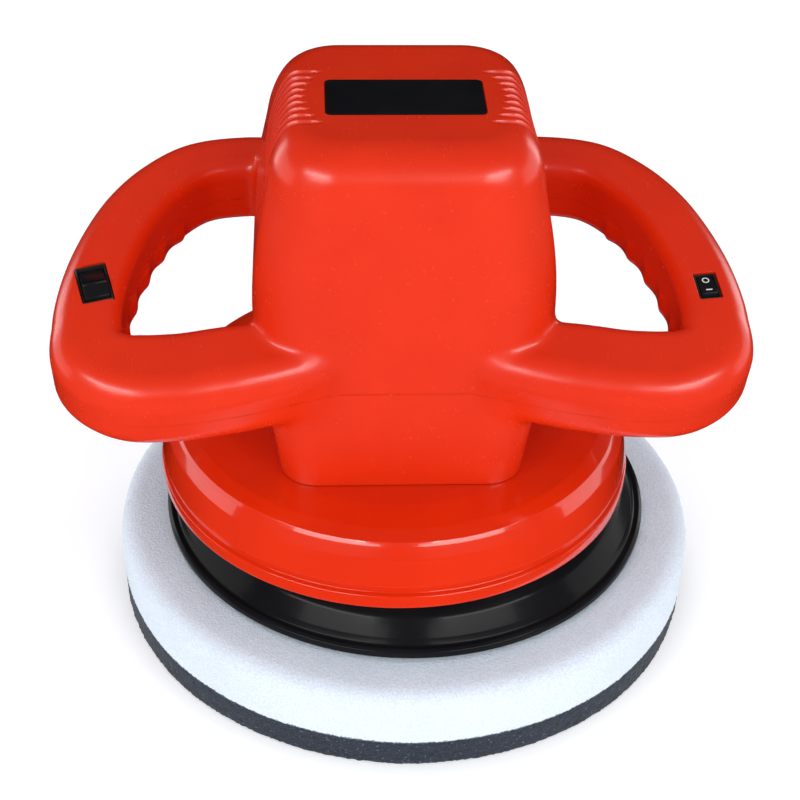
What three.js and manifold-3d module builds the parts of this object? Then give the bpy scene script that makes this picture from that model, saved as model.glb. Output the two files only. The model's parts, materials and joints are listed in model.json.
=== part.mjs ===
// A two-handed orbital polisher: a tall motor housing with a D-loop handle on each side, a bell skirt below
// it, and a foam pad that an eccentric drives round a small circle. Millimetres, +Z up, origin on the floor
// under the motor shaft, the front towards -Y.
import * as THREE from 'three';
import { mergeVertices } from 'three/addons/utils/BufferGeometryUtils.js';
import Module from 'manifold-3d';

const wasm = await Module();
wasm.setup();

// ---- Driving dimensions -----------------------------------------------------------------------------

const GAP = 0.3; // clearance between neighbouring pieces
const PAD_RADIUS = 120; // the 240 mm foam pad
const ORBIT = 5; // the eccentricity: the pad's centre lies this far along +X at rest

const GREY_FOAM_TOP = 12.7;
const WHITE_FOAM_TOP = 36;
const PLATE_BOTTOM = 37.3;
const PLATE_RADIUS = 100;

const SKIRT_BOTTOM = 60;
const SKIRT_TOP = 91;
const SKIRT_RADIUS = 96;
const SKIRT_WALL = 2.7;

const WALL = 3; // housing wall
const NECK_BOTTOM = SKIRT_TOP + GAP;
const CROWN_BOTTOM = 205; // where the shoulders begin to curve in
const TOP = 228;
// Height, half width, front reach, rear reach and corner radius of the motor housing, from the neck upwards.
const TOWER = [
  [NECK_BOTTOM, 46, 60.5, 50, 14],
  [127, 53, 60, 50, 18],
  [150, 56, 58.5, 53, 20],
  [170, 56, 57.5, 55.5, 21],
  [188, 53.5, 56.5, 55, 22],
  [CROWN_BOTTOM, 49.5, 55.5, 51.5, 23],
];
const CROWN = { half: 38, front: 40, rear: 31, corner: 16, frontRise: 15 };

// The handles' tilted middle plane, which is also the parting plane.
const HANDLE_PLANE = { y: -57, z: 134, slope: 0.288 };
const HANDLE_HALF_HEIGHT = 17;
const HANDLE_CORNER = 11;
// The handle's half width at places along it, from 0 at the front of the housing to 1 at the rear.
const HANDLE_HALF_WIDTHS = [
  [0, 14.5], [0.12, 16], [0.27, 16], [0.42, 13.2], [0.7, 12.6], [0.85, 11.8], [1, 11.8],
];
// The right handle's centre line in plan, from the front of the housing round the grip to the rear.
const HANDLE_LINE = [
  [36, -47.5], [50, -51], [66, -54], [85, -57], [103.5, -56.2], [114.5, -48.5], [117, -33], [115, -13],
  [109.5, 6], [102.5, 21], [92.5, 34], [79, 44], [60, 47.5], [40, 46.5],
];
const GRIP = { start: 0.39, end: 0.745, fingers: 5, depth: 1.3 };

const VENTS = { count: 9, pitch: 4.9, middle: -8, width: 2.2, innerEnd: 37, curve: 6, bottom: 204 };
const LABEL = { width: 57, length: 27, y: -8.5, thick: 1.2, recess: 0.9, corner: 2 };

// The switches: the power switch on the right grip, the speed switch on the left one. Angles in degrees.
const POWER = {
  side: 1, y: -23.6, turn: 6, width: 8.4, length: 12.4,
  rocker: 6.4, reach: 5.2, tipAngle: 35, ridge: -0.4, tilt: 9,
};
const SPEED = {
  side: -1, y: -20.6, turn: 15, width: 11.4, length: 18,
  rocker: 9.4, reach: 8, tipAngle: 18, ridge: 1.7, tilt: 7,
};
const SWITCH_X = 114.5;
const SWITCH_DEPTH = 13; // from the grip's top face to the bottom of the switch body
const FRAME_SUNK = 0.6;
const PIVOT_DEPTH = 3.2;
const ROCKER_POCKET = 9.5;
const ROCKER_LOW_ANGLE = -25; // where a rocker's end arcs stop, below its pivot

const SHAFT = 7.2;
const SHAFT_UPPER = 3.7;
const SHAFT_MIDDLE = 6;
const ARMATURE = 20;
const STATOR = 42;
const COMMUTATOR = 12.5;
const BRUSH_Z = 188;
const STACK = { bottom: 124, top: 172 }; // the stator's sheets
const STATOR_POLE = { airGap: 1, neck: 13, shoe: 3.2, shoeSpread: 0.85, ringWall: 4.5 };
const FIELD_COIL = { half: 20.5, tall: 30.5, window: 13.4, windowTall: 24.4, inner: 25, outer: 31 };
const BRACKET = {
  bottom: 178.9, top: 181.9, bore: 20, radius: 41, postRing: 39.5, post: 2.2,
  legHalf: 9, legInner: 35, legOuter: 39, barBottom: 201, barTop: 205, boss: 14, bossTop: 213,
};
const BRUSH = { holderHalf: 5.2, holderTall: 6, wall: 1.5, from: 15, to: 36, half: 3.2, tall: 4 };
const SPRING = { from: 24.8, to: 33.9, turns: 4, radius: 2.4, wire: 0.4 };
const ARMATURE_SLOTS = { count: 12, depth: 7, tooth: 0.19, mouth: 0.045, bottom: 126, top: 170 };
const FAN = { radius: 38, hub: 12, bottom: 100, disc: 2, tall: 12, hubTall: 14, blades: 11, bladeHalf: 0.8 };
const ECCENTRIC = { top: 79.8, sleeve: 13, weight: 46, weightBottom: 68, web: 12, webBottom: 65.5, pin: 6 };
const PIN_BOTTOM = 46.4;
const PAD_BOLT = { head: 5, headHeight: 4, shank: 3 };
const PAD_BOLT_BOTTOM = 39.5;
const PAD_BOLT_END = 60;
const HUB = {
  flange: 29, flangeBottom: 52.3, flangeTop: 55.6, radius: 18.3, bore: 16.3, mouth: 12, bottom: 42, top: 60,
};
const HUB_SCREW = { head: 3, headBottom: 59.6, headTop: 61.6, shank: 1.7, end: 53, ring: 24 };

// Bore, outer radius, bottom, top, centre along X and number of balls of each bearing.
const BEARINGS = [
  ['upper_bearing', SHAFT_UPPER + GAP, 11, 204, 211, 0, 7],
  ['lower_bearing', SHAFT + GAP, 17.5, 84, 95, 0, 8],
  ['eccentric_bearing', ECCENTRIC.pin + GAP, 16, 46, 56, ORBIT, 8],
];

const FINE = 32; // facets round the large turned pieces
const ROUND = 20; // facets round the middling ones
const SMALL = 8; // facets round the fasteners

// ---- Materials --------------------------------------------------------------------------------------

function material(color, roughness, metalness = 0) {
  return new THREE.MeshStandardMaterial({ color, roughness, metalness });
}

const RED = material(0xd92a12, 0.25);
const BLACK_GLOSS = material(0x0b0b0c, 0.15);
const BLACK = material(0x1a1a1c, 0.5);
const WHITE_FOAM = material(0xf1f3f4, 0.95);
const GREY_FOAM = material(0x44484d, 0.95);
const LOOP = material(0x2b2d30, 0.9);
const STEEL = material(0x9a9ca0, 0.35, 1);
const LAMINATION = material(0x6c6e72, 0.5, 1);
const COPPER = material(0xb4632f, 0.4, 1);
const CAST_IRON = material(0x4a4b4d, 0.6, 1);
const ALUMINIUM = material(0xb8babd, 0.45, 1);
const BRASS = material(0xb89a4a, 0.35, 1);
const CARBON = material(0x2a2a2c, 0.7);
const BOARD = material(0x1f6a3a, 0.55);
const FAN_PLASTIC = material(0x232427, 0.5);

// ---- Solids -----------------------------------------------------------------------------------------

// A closed geometry, with its vertices merged and its faces turned outwards.
function closed(geometry) {
  const bare = new THREE.BufferGeometry();
  bare.setAttribute('position', geometry.getAttribute('position'));
  if (geometry.index) bare.setIndex(geometry.index);
  const merged = mergeVertices(bare, 1e-4);
  const corners = merged.index.array;
  const kept = [];
  for (let i = 0; i < corners.length; i += 3) {
    const [a, b, c] = [corners[i], corners[i + 1], corners[i + 2]];
    if (a !== b && b !== c && c !== a) kept.push(a, b, c);
  }
  if (volume(merged, kept) < 0) kept.reverse();
  merged.setIndex(kept);
  return merged;
}

function volume(geometry, corners) {
  const [a, b, c] = [new THREE.Vector3(), new THREE.Vector3(), new THREE.Vector3()];
  const positions = geometry.getAttribute('position');
  let total = 0;
  for (let i = 0; i < corners.length; i += 3) {
    a.fromBufferAttribute(positions, corners[i]);
    b.fromBufferAttribute(positions, corners[i + 1]);
    c.fromBufferAttribute(positions, corners[i + 2]);
    total += a.dot(b.cross(c)) / 6;
  }
  return total;
}

function solid(geometry) {
  const g = closed(geometry);
  const vertProperties = new Float32Array(g.getAttribute('position').array);
  const triVerts = new Uint32Array(g.index.array);
  return new wasm.Manifold(new wasm.Mesh({ numProp: 3, vertProperties, triVerts }));
}

function geometryOf(shape) {
  const mesh = shape.getMesh();
  const g = new THREE.BufferGeometry();
  g.setAttribute('position', new THREE.BufferAttribute(new Float32Array(mesh.vertProperties), 3));
  g.setIndex([...mesh.triVerts]);
  g.computeVertexNormals();
  return g;
}

const join = (...shapes) => shapes.reduce((all, s) => all.add(s));
const cut = (shape, ...tools) => tools.reduce((left, t) => left.subtract(t), shape);

function box(x0, x1, y0, y1, z0, z1) {
  return new THREE.BoxGeometry(x1 - x0, y1 - y0, z1 - z0)
    .translate((x0 + x1) / 2, (y0 + y1) / 2, (z0 + z1) / 2);
}

// A turned piece from its [radius, height] profile, round the vertical through (x, y).
function turned(profile, facets = ROUND, x = 0, y = 0) {
  const points = profile.map(([r, z]) => new THREE.Vector2(r, z));
  if (profile[0][0] > 0) points.push(points[0].clone());
  return closed(new THREE.LatheGeometry(points, facets).rotateX(Math.PI / 2).translate(x, y, 0));
}

const rod = (r, z0, z1, facets, x, y) => turned([[0, z0], [r, z0], [r, z1], [0, z1]], facets, x, y);
const tube = (ri, ro, z0, z1, facets, x, y) => turned([[ri, z0], [ro, z0], [ro, z1], [ri, z1]], facets, x, y);

function roundedRectangle(x0, x1, y0, y1, r) {
  const s = new THREE.Shape();
  s.moveTo(x0 + r, y0);
  s.absarc(x1 - r, y0 + r, r, -Math.PI / 2, 0);
  s.absarc(x1 - r, y1 - r, r, 0, Math.PI / 2);
  s.absarc(x0 + r, y1 - r, r, Math.PI / 2, Math.PI);
  s.absarc(x0 + r, y0 + r, r, Math.PI, Math.PI * 1.5);
  return s;
}

function extruded(shape, z0, z1, curveSegments = 4) {
  return new THREE.ExtrudeGeometry(shape, { depth: z1 - z0, bevelEnabled: false, curveSegments })
    .translate(0, 0, z0);
}

// A skin over a stack of closed rings of the same number of points, capped at both ends.
function loft(rings) {
  const n = rings[0].length;
  const last = (rings.length - 1) * n;
  const positions = rings.flat().flatMap((p) => [p.x, p.y, p.z]);
  for (const ring of [rings[0], rings.at(-1)]) {
    const middle = ring.reduce((sum, p) => sum.add(p), new THREE.Vector3()).divideScalar(n);
    positions.push(middle.x, middle.y, middle.z);
  }
  const index = [];
  for (let i = 0; i < n; i++) {
    const j = (i + 1) % n;
    index.push(rings.length * n, j, i, rings.length * n + 1, last + i, last + j);
    for (let k = 0; k < last; k += n) index.push(k + i, k + j, k + n + j, k + i, k + n + j, k + n + i);
  }
  const g = new THREE.BufferGeometry();
  g.setAttribute('position', new THREE.Float32BufferAttribute(positions, 3));
  g.setIndex(index);
  return g;
}

function mirrored(geometry) {
  return closed(geometry.clone().scale(-1, 1, 1));
}

// ---- The motor housing and its handles --------------------------------------------------------------

// The points of a rectangle with rounded corners, anticlockwise, with the given steps round each corner.
function roundedOutline(half, y0, y1, corner, steps) {
  const [right, low, high] = [half - corner, y0 + corner, y1 - corner];
  const centres = [[right, low], [right, high], [-right, high], [-right, low]];
  return centres.flatMap(([x, y], quarter) => Array.from({ length: steps + 1 }, (_, i) => {
    const a = (quarter - 1 + i / steps) * Math.PI / 2;
    return new THREE.Vector2(x + corner * Math.cos(a), y + corner * Math.sin(a));
  }));
}

const TOWER_CORNER_STEPS = 3;
const HANDLE_CORNER_STEPS = 2;

// One level of the housing.
function towerRing(z, half, front, rear, corner) {
  return roundedOutline(half, -front, rear, corner, TOWER_CORNER_STEPS)
    .map(({ x, y }) => new THREE.Vector3(x, y, z));
}

// The housing's levels, moved inwards by inset; the crown's sections follow quarter ellipses.
function towerRings(inset) {
  const rings = TOWER.map(([z, half, front, rear, corner]) =>
    towerRing(z, half - inset, front - inset, rear - inset, corner - inset));
  if (inset) rings.unshift(rings[0].map((p) => p.clone().setZ(SKIRT_TOP - WALL)));
  const [, half, front, rear, corner] = TOWER.at(-1);
  const rise = TOP - CROWN_BOTTOM;
  const steps = 4;
  for (let i = 1; i <= steps; i++) {
    const climb = Math.sin((i / steps) * Math.PI / 2);
    const side = Math.sqrt(1 - climb ** 2);
    const frontClimb = Math.max(0, 1 - (rise * (1 - climb)) / CROWN.frontRise);
    const frontSide = Math.sqrt(1 - frontClimb ** 2);
    rings.push(towerRing(
      CROWN_BOTTOM + climb * (rise - inset),
      CROWN.half + (half - CROWN.half) * side - inset,
      CROWN.front + (front - CROWN.front) * frontSide - inset,
      CROWN.rear + (rear - CROWN.rear) * side - inset,
      CROWN.corner + (corner - CROWN.corner) * side - inset,
    ));
  }
  return rings;
}

const SLOPE_ANGLE = Math.atan(HANDLE_PLANE.slope);
const handleMiddle = (y) => HANDLE_PLANE.z + HANDLE_PLANE.slope * (y - HANDLE_PLANE.y);
const HANDLE_UP = new THREE.Vector3(0, -Math.sin(SLOPE_ANGLE), Math.cos(SLOPE_ANGLE));
const handleCurve = new THREE.CatmullRomCurve3(
  HANDLE_LINE.map(([x, y]) => new THREE.Vector3(x, y, handleMiddle(y))), false, 'centripetal');

function handleHalfWidth(t) {
  const next = HANDLE_HALF_WIDTHS.findIndex(([place]) => place >= t);
  const [[t0, w0], [t1, w1]] = HANDLE_HALF_WIDTHS.slice(Math.max(next, 1) - 1, Math.max(next, 1) + 1);
  return w0 + (w1 - w0) * (t - t0) / (t1 - t0);
}

// How far the finger grooves' ridges stand out of the grip's inner side at t along the handle.
function fingerRidge(t) {
  const along = (t - GRIP.start) / (GRIP.end - GRIP.start);
  if (along < 0 || along > 1) return 0;
  return GRIP.depth * (1 - Math.abs(Math.sin(along * GRIP.fingers * Math.PI)));
}

// The right handle, moved inwards by inset; the lower inner edge of the grip carries the finger ridges.
function handle(inset, stations, ridges) {
  const rings = [];
  for (let i = 0; i <= stations; i++) {
    const t = i / stations;
    const centre = handleCurve.getPointAt(t);
    const across = handleCurve.getTangentAt(t).cross(HANDLE_UP).normalize();
    const half = handleHalfWidth(t) - inset;
    const high = HANDLE_HALF_HEIGHT - inset;
    const section = roundedOutline(half, -high, high, HANDLE_CORNER - inset, HANDLE_CORNER_STEPS);
    rings.push(section.map(({ x, y }) => {
      const ridge = ridges && x < 0 && y < 0 ? -fingerRidge(t) : 0;
      return centre.clone().addScaledVector(across, x + ridge).addScaledVector(HANDLE_UP, y);
    }));
  }
  return loft(rings);
}

// Everything on one side of the parting plane, which runs through the middle of both handles.
function halfSpace(side) {
  const size = 400;
  return solid(new THREE.BoxGeometry(size, size, size)
    .translate(0, 0, side * (size / 2 + GAP / 2))
    .rotateX(SLOPE_ANGLE)
    .translate(0, HANDLE_PLANE.y, HANDLE_PLANE.z));
}

// Housing screws, driven upwards through the lower half of each handle.
const HOUSING_SCREWS = [[-70, -55], [-108, 8], [-66, 46], [70, -55], [108, 8], [66, 46]];
const HOUSING_SCREW = {
  head: 3.6, headHeight: 2.6, shank: 1.8, hole: 2.1, sunk: 8, boss: 6, counterbore: 4.2, above: 9,
};

function housingScrewLevels(y) {
  const bottom = handleMiddle(y) - HANDLE_HALF_HEIGHT;
  return { bottom, shelf: bottom + HOUSING_SCREW.sunk, end: handleMiddle(y) + HOUSING_SCREW.above };
}

// Screws through the skirt and the lower bearing plate into the neck.
const BASE_SCREWS = [[-33, -44], [33, -44], [-33, 32], [33, 32]];
const BASE_SCREW = { head: 3.4, headHeight: 2.5, shank: 1.8, hole: 2.1, boss: 5, end: 110, bossTop: 113 };
const BEARING_PLATE = {
  bottom: NECK_BOTTOM + GAP, top: 95.6, half: 40, front: 52, rear: 40, corner: 9,
  boss: 22, bossBottom: 80.5, mouth: 12,
};
const SEAT_STEP = 0.3; // a bearing stands this far above the floor of its seat

function housingBosses() {
  const bosses = HOUSING_SCREWS.map(([x, y]) => {
    const { bottom, end } = housingScrewLevels(y);
    return solid(rod(HOUSING_SCREW.boss, bottom - 2, end + 4, SMALL, x, y));
  });
  for (const [x, y] of BASE_SCREWS) {
    const wall = Math.sign(x) * TOWER[0][1];
    bosses.push(solid(rod(BASE_SCREW.boss, BEARING_PLATE.top + GAP, BASE_SCREW.bossTop, SMALL, x, y)));
    bosses.push(solid(box(Math.min(x, wall), Math.max(x, wall), y - 1.5, y + 1.5,
      BEARING_PLATE.top + GAP, BASE_SCREW.bossTop)));
  }
  return join(...bosses);
}

// Ribs that hold the stator from four sides.
function statorRibs() {
  const [inner, outer, half, z0, z1] = [STATOR + GAP, 70, 1.5, STACK.bottom - 2, STACK.top];
  return join(
    solid(box(inner, outer, -half, half, z0, z1)), solid(box(-outer, -inner, -half, half, z0, z1)),
    solid(box(-half, half, inner, outer, z0, z1)), solid(box(-half, half, -outer, -inner, z0, z1)));
}

function screwHoles() {
  const holes = [];
  for (const [x, y] of HOUSING_SCREWS) {
    const { bottom, shelf, end } = housingScrewLevels(y);
    holes.push(solid(rod(HOUSING_SCREW.counterbore, bottom - 5, shelf, SMALL, x, y)));
    holes.push(solid(rod(HOUSING_SCREW.hole, shelf - 1, end + 0.5, SMALL, x, y)));
  }
  for (const [x, y] of BASE_SCREWS) {
    holes.push(solid(rod(BASE_SCREW.hole, SKIRT_TOP - 10, BASE_SCREW.end + 0.5, SMALL, x, y)));
  }
  return join(...holes);
}

function ventSlots() {
  const slots = [];
  const middle = (VENTS.count - 1) / 2;
  for (let i = 0; i < VENTS.count; i++) {
    const y = VENTS.middle + (i - middle) * VENTS.pitch;
    const x = VENTS.innerEnd - VENTS.curve * ((i - middle) / middle) ** 2;
    const slot = box(x, 60, y - VENTS.width / 2, y + VENTS.width / 2, VENTS.bottom, TOP + 5);
    slots.push(solid(slot), solid(mirrored(slot)));
  }
  return join(...slots);
}

function labelOutline(grow) {
  const [half, deep] = [LABEL.width / 2 + grow, LABEL.length / 2 + grow];
  return roundedRectangle(-half, half, LABEL.y - deep, LABEL.y + deep, LABEL.corner + grow);
}

// Places a switch's local frame on the top face of its grip.
function switchPlace({ side, y, turn }) {
  const place = new THREE.Group();
  place.position.set(side * SWITCH_X, y, handleMiddle(y)).addScaledVector(HANDLE_UP, HANDLE_HALF_HEIGHT);
  place.rotation.set(SLOPE_ANGLE, 0, THREE.MathUtils.degToRad(turn));
  place.updateMatrix();
  return place;
}

function switchOpening(size) {
  const [w, l] = [size.width / 2 + GAP, size.length / 2 + GAP];
  return solid(box(-w, w, -l, l, -SWITCH_DEPTH - 1, SWITCH_DEPTH).applyMatrix4(switchPlace(size).matrix));
}

const GLAND = { z: 112, hole: 7.3, bore: 3.4, flange: 9, y: 50 };
const glandHole = solid(rod(GLAND.hole, 0, 30, 20).rotateX(-Math.PI / 2).translate(0, GLAND.y - 15, GLAND.z));

// The tower joined to both handles, moved inwards by inset.
function body(inset, stations, ridges) {
  const right = handle(inset, stations, ridges);
  return join(solid(loft(towerRings(inset))), solid(right), solid(mirrored(right)));
}

// One half of the moulded shell: side 1 above the parting plane, -1 below it.
function housingHalf(side, stations) {
  const outside = body(0, stations, side < 0);
  const hollow = body(WALL, 12, false);
  const fittings = join(housingBosses(), statorRibs()).intersect(outside);
  return cut(join(cut(outside, hollow), fittings), screwHoles(), glandHole).intersect(halfSpace(side));
}

const upperHousing = cut(housingHalf(1, 16), ventSlots(),
  solid(extruded(labelOutline(GAP), TOP - LABEL.recess, TOP + 1)),
  switchOpening(POWER), switchOpening(SPEED));
const lowerHousing = housingHalf(-1, 34);

// ---- Small fixed pieces of the housing --------------------------------------------------------------

function gland() {
  const { bore, flange, y } = GLAND;
  const neck = GLAND.hole - GAP;
  const [inside, outside] = [y - WALL - GAP, y + GAP];
  return turned([
    [bore, inside - 3], [flange, inside - 3], [flange, inside], [neck, inside], [neck, outside],
    [flange, outside], [flange, outside + 1.5], [neck, outside + 7], [bore, outside + 7],
  ]).rotateX(-Math.PI / 2).translate(0, 0, GLAND.z);
}

// A rocker: its ends are arcs about the pivot, and its top has a ridge or a dip in the middle.
function rocker({ rocker: width, reach, tipAngle, ridge, tilt }) {
  const tip = THREE.MathUtils.degToRad(tipAngle);
  const low = THREE.MathUtils.degToRad(ROCKER_LOW_ANGLE);
  const s = new THREE.Shape();
  s.moveTo(0, ridge + PIVOT_DEPTH);
  s.lineTo(-reach * Math.cos(tip), reach * Math.sin(tip));
  s.absarc(0, 0, reach, Math.PI - tip, Math.PI - low);
  s.absarc(0, 0, reach, low, tip);
  const g = new THREE.ExtrudeGeometry(s, { depth: width, bevelEnabled: false, curveSegments: 4 });
  // The profile's first axis becomes the length along Y, and its second the height.
  g.translate(0, 0, -width / 2).rotateX(Math.PI / 2).rotateZ(Math.PI / 2);
  return g.rotateX(THREE.MathUtils.degToRad(-tilt)).translate(0, 0, -PIVOT_DEPTH);
}

function switchBody({ width, length, rocker: rockerWidth, reach }) {
  const [w, l] = [width / 2, length / 2];
  const [pw, pl] = [rockerWidth / 2 + GAP, reach + GAP];
  const block = solid(box(-w, w, -l, l, -SWITCH_DEPTH, -FRAME_SUNK));
  return geometryOf(cut(block, solid(box(-pw, pw, -pl, pl, -ROCKER_POCKET, 1))));
}

// ---- Turned bearings: two races, and a cage that holds the balls ------------------------------------

function races(bore, outer, z0, z1, x) {
  const third = (outer - bore) * 0.27;
  return {
    inner: tube(bore, bore + third, z0, z1, ROUND, x),
    outer: tube(outer - third, outer, z0, z1, ROUND, x),
  };
}

function cage(bore, outer, z0, z1, x, balls) {
  const middle = (bore + outer) / 2;
  const room = (outer - bore) * 0.23 - GAP;
  const z = (z0 + z1) / 2;
  const ring = tube(middle - room / 3, middle + room / 3, z - room * 0.6, z + room * 0.6, balls * 2, x);
  const pieces = [solid(ring)];
  for (let i = 0; i < balls; i++) {
    const a = (i / balls) * Math.PI * 2;
    pieces.push(solid(new THREE.OctahedronGeometry(room, 1)
      .translate(x + middle * Math.cos(a), middle * Math.sin(a), z)));
  }
  return geometryOf(join(...pieces));
}

// ---- Motor ------------------------------------------------------------------------------------------

// The room for a bearing, open at the top.
function bearingSeat([, , outer, bottom, top]) {
  return solid(rod(outer + GAP, bottom - SEAT_STEP, top + 10, ROUND));
}

function lowerBearingPlate() {
  const { bottom, top, half, front, rear, corner } = BEARING_PLATE;
  const plate = solid(extruded(roundedRectangle(-half, half, -front, rear, corner), bottom, top));
  const boss = solid(rod(BEARING_PLATE.boss, BEARING_PLATE.bossBottom, top, ROUND));
  const seat = bearingSeat(BEARINGS[1]);
  const mouth = solid(rod(BEARING_PLATE.mouth, 70, 90, ROUND));
  const holes = BASE_SCREWS.map(([x, y]) => solid(rod(BASE_SCREW.hole, 85, 100, SMALL, x, y)));
  return geometryOf(cut(join(plate, boss), seat, mouth, ...holes));
}

// The stator stack: a ring with two pole pieces that face the armature.
function statorCore() {
  const { airGap, neck, shoe, shoeSpread: spread, ringWall } = STATOR_POLE;
  const [bore, ringInner] = [ARMATURE + airGap, STATOR - ringWall];
  const ring = new THREE.Shape().absarc(0, 0, STATOR, 0, Math.PI * 2);
  ring.holes.push(new THREE.Path().absarc(0, 0, ringInner, 0, Math.PI * 2, true));
  const { bottom: z0, top: z1 } = STACK;
  const parts = [solid(extruded(ring, z0, z1, 16))];
  for (const side of [0, Math.PI]) {
    const pole = new THREE.Shape();
    pole.absarc(0, 0, bore + shoe, side - spread, side + spread);
    pole.absarc(0, 0, bore, side + spread, side - spread, true);
    parts.push(solid(extruded(pole, z0, z1, 8)));
    const reach = Math.cos(side);
    const [from, to] = [reach * (bore + 1.8), reach * (ringInner + 1)];
    parts.push(solid(box(Math.min(from, to), Math.max(from, to), -neck, neck, z0, z1)));
  }
  return geometryOf(join(...parts));
}

// A field coil wound round one pole, between the pole piece and the ring.
function fieldCoil(side) {
  const { half, tall, window, windowTall, inner, outer } = FIELD_COIL;
  const frame = roundedRectangle(-half, half, -tall, tall, 5);
  frame.holes.push(roundedRectangle(-window, window, -windowTall, windowTall, 0.5));
  return extruded(frame, inner, outer, 2).rotateX(Math.PI / 2).rotateZ(Math.PI / 2)
    .rotateZ(side < 0 ? Math.PI : 0).translate(0, 0, (STACK.bottom + STACK.top) / 2);
}

// The upper bearing's bracket: a ring on four posts, with a bridge over the commutator.
function upperBracket() {
  const { bottom, top, bore, radius, postRing, legHalf: w, legInner, legOuter, barBottom, barTop } = BRACKET;
  const plate = solid(tube(bore, radius, bottom, top, ROUND));
  const across = postRing * Math.SQRT1_2;
  const posts = [[1, 1], [-1, 1], [-1, -1], [1, -1]].map(([sx, sy]) =>
    solid(rod(BRACKET.post, STACK.top + GAP, top, SMALL, sx * across, sy * across)));
  const legs = [[legInner, legOuter], [-legOuter, -legInner]].map(([y0, y1]) =>
    solid(box(-w, w, y0, y1, top - 1, barTop)));
  const bar = solid(box(-w, w, -legOuter, legOuter, barBottom, barTop));
  const boss = solid(rod(BRACKET.boss, barBottom, BRACKET.bossTop, ROUND));
  const mouth = solid(rod(8, 190, 210, ROUND));
  return geometryOf(cut(join(plate, ...posts, ...legs, bar, boss), bearingSeat(BEARINGS[0]), mouth));
}

function brushHolder() {
  const { holderHalf: w, holderTall: h, wall, from, to } = BRUSH;
  const outer = solid(box(from, to, -w, w, BRUSH_Z - h, BRUSH_Z + h));
  const [across, up] = [w - wall, h - wall];
  const channel = solid(box(from - 5, to - wall, -across, across, BRUSH_Z - up, BRUSH_Z + up));
  return geometryOf(cut(outer, channel));
}

function carbonBrush() {
  const { half, tall } = BRUSH;
  return box(COMMUTATOR + 0.4, SPRING.from - 0.4, -half, half, BRUSH_Z - tall, BRUSH_Z + tall);
}

// The helical spring behind a brush, with its axis along X.
function brushSpring() {
  const { from, to, turns, radius: r, wire } = SPRING;
  class Helix extends THREE.Curve {
    getPoint(t) {
      const a = t * turns * Math.PI * 2;
      return new THREE.Vector3(from + t * (to - from), r * Math.cos(a), BRUSH_Z + r * Math.sin(a));
    }
  }
  const section = new THREE.Shape().absarc(0, 0, wire, 0, Math.PI * 2);
  return new THREE.ExtrudeGeometry(section, { steps: turns * 8, extrudePath: new Helix(), curveSegments: 2 });
}

function armatureCore() {
  const { count, depth, tooth, mouth, bottom, top } = ARMATURE_SLOTS;
  const floor = ARMATURE - depth;
  const s = new THREE.Shape();
  for (let i = 0; i < count; i++) {
    const a = (i / count) * Math.PI * 2;
    s.absarc(0, 0, ARMATURE, a - tooth, a + tooth);
    const next = a + Math.PI / count;
    s.lineTo(floor * Math.cos(next - mouth), floor * Math.sin(next - mouth));
    s.lineTo(floor * Math.cos(next + mouth), floor * Math.sin(next + mouth));
  }
  const bore = solid(rod(SHAFT_MIDDLE + GAP, bottom - 5, top + 5));
  return geometryOf(cut(solid(extruded(s, bottom, top, 3)), bore));
}

const endWinding = (z0, z1) => turned([[8, z0], [16, z0], [18, z0 + 1.5], [18, z1 - 1.5], [16, z1], [8, z1]]);

function coolingFan() {
  const { radius, hub, bottom, disc, tall, hubTall, blades: count, bladeHalf } = FAN;
  const blade = (i) => solid(box(hub - 3, radius - 1, -bladeHalf, bladeHalf, bottom + 1, bottom + tall)
    .rotateZ((i / count) * Math.PI * 2));
  const blades = Array.from({ length: count }, (_, i) => blade(i));
  const plate = solid(rod(radius, bottom, bottom + disc, FINE));
  const wheel = join(plate, solid(rod(hub, bottom, bottom + hubTall)), ...blades);
  return geometryOf(cut(wheel, solid(rod(SHAFT_MIDDLE + GAP, bottom - 10, bottom + 20))));
}

// The eccentric on the shaft's lower end: a crank pin for the pad, and a balance weight opposite it.
function eccentric() {
  const { top, weightBottom, webBottom } = ECCENTRIC;
  const sleeve = solid(rod(ECCENTRIC.sleeve, webBottom + 0.5, top));
  const sector = new THREE.Shape();
  sector.absarc(0, 0, ECCENTRIC.weight, Math.PI / 2, Math.PI * 1.5);
  const weight = solid(extruded(sector, weightBottom, top, 12));
  const web = solid(rod(ECCENTRIC.web, webBottom, webBottom + 6.5, ROUND, ORBIT));
  const pin = solid(rod(ECCENTRIC.pin, PIN_BOTTOM, webBottom + 4.5, ROUND, ORBIT));
  const socket = solid(rod(SHAFT + GAP, weightBottom, top + 10));
  const thread = solid(rod(PAD_BOLT.shank + GAP, PIN_BOTTOM - 6, PAD_BOLT_END + 2, SMALL, ORBIT));
  return geometryOf(cut(join(sleeve, weight, web, pin), socket, thread));
}

// ---- Skirt and pad ----------------------------------------------------------------------------------

// The bell: a lower band, a groove, the main band, a shoulder and a gently sloping top round the bearing.
function skirt() {
  const hole = 26;
  const R = SKIRT_RADIUS;
  const bell = turned([
    [hole, SKIRT_TOP], [72, SKIRT_TOP], [84, 89.4], [90, 87], [93, 81.5],
    [R - 0.6, 70.3], [R - 2, 69.6], [R - 2, 66.6], [R, 66], [R, SKIRT_BOTTOM + 0.8], [R - 0.6, SKIRT_BOTTOM],
    [R - SKIRT_WALL, SKIRT_BOTTOM], [R - SKIRT_WALL - 1.9, 70], [90.2, 80.5], [87.4, 84.4], [83, 86.5],
    [72, SKIRT_TOP - SKIRT_WALL], [hole, SKIRT_TOP - SKIRT_WALL],
  ], FINE);
  const holes = BASE_SCREWS.map(([x, y]) => solid(rod(BASE_SCREW.hole, 80, 100, SMALL, x, y)));
  return geometryOf(cut(solid(bell), ...holes));
}

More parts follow.
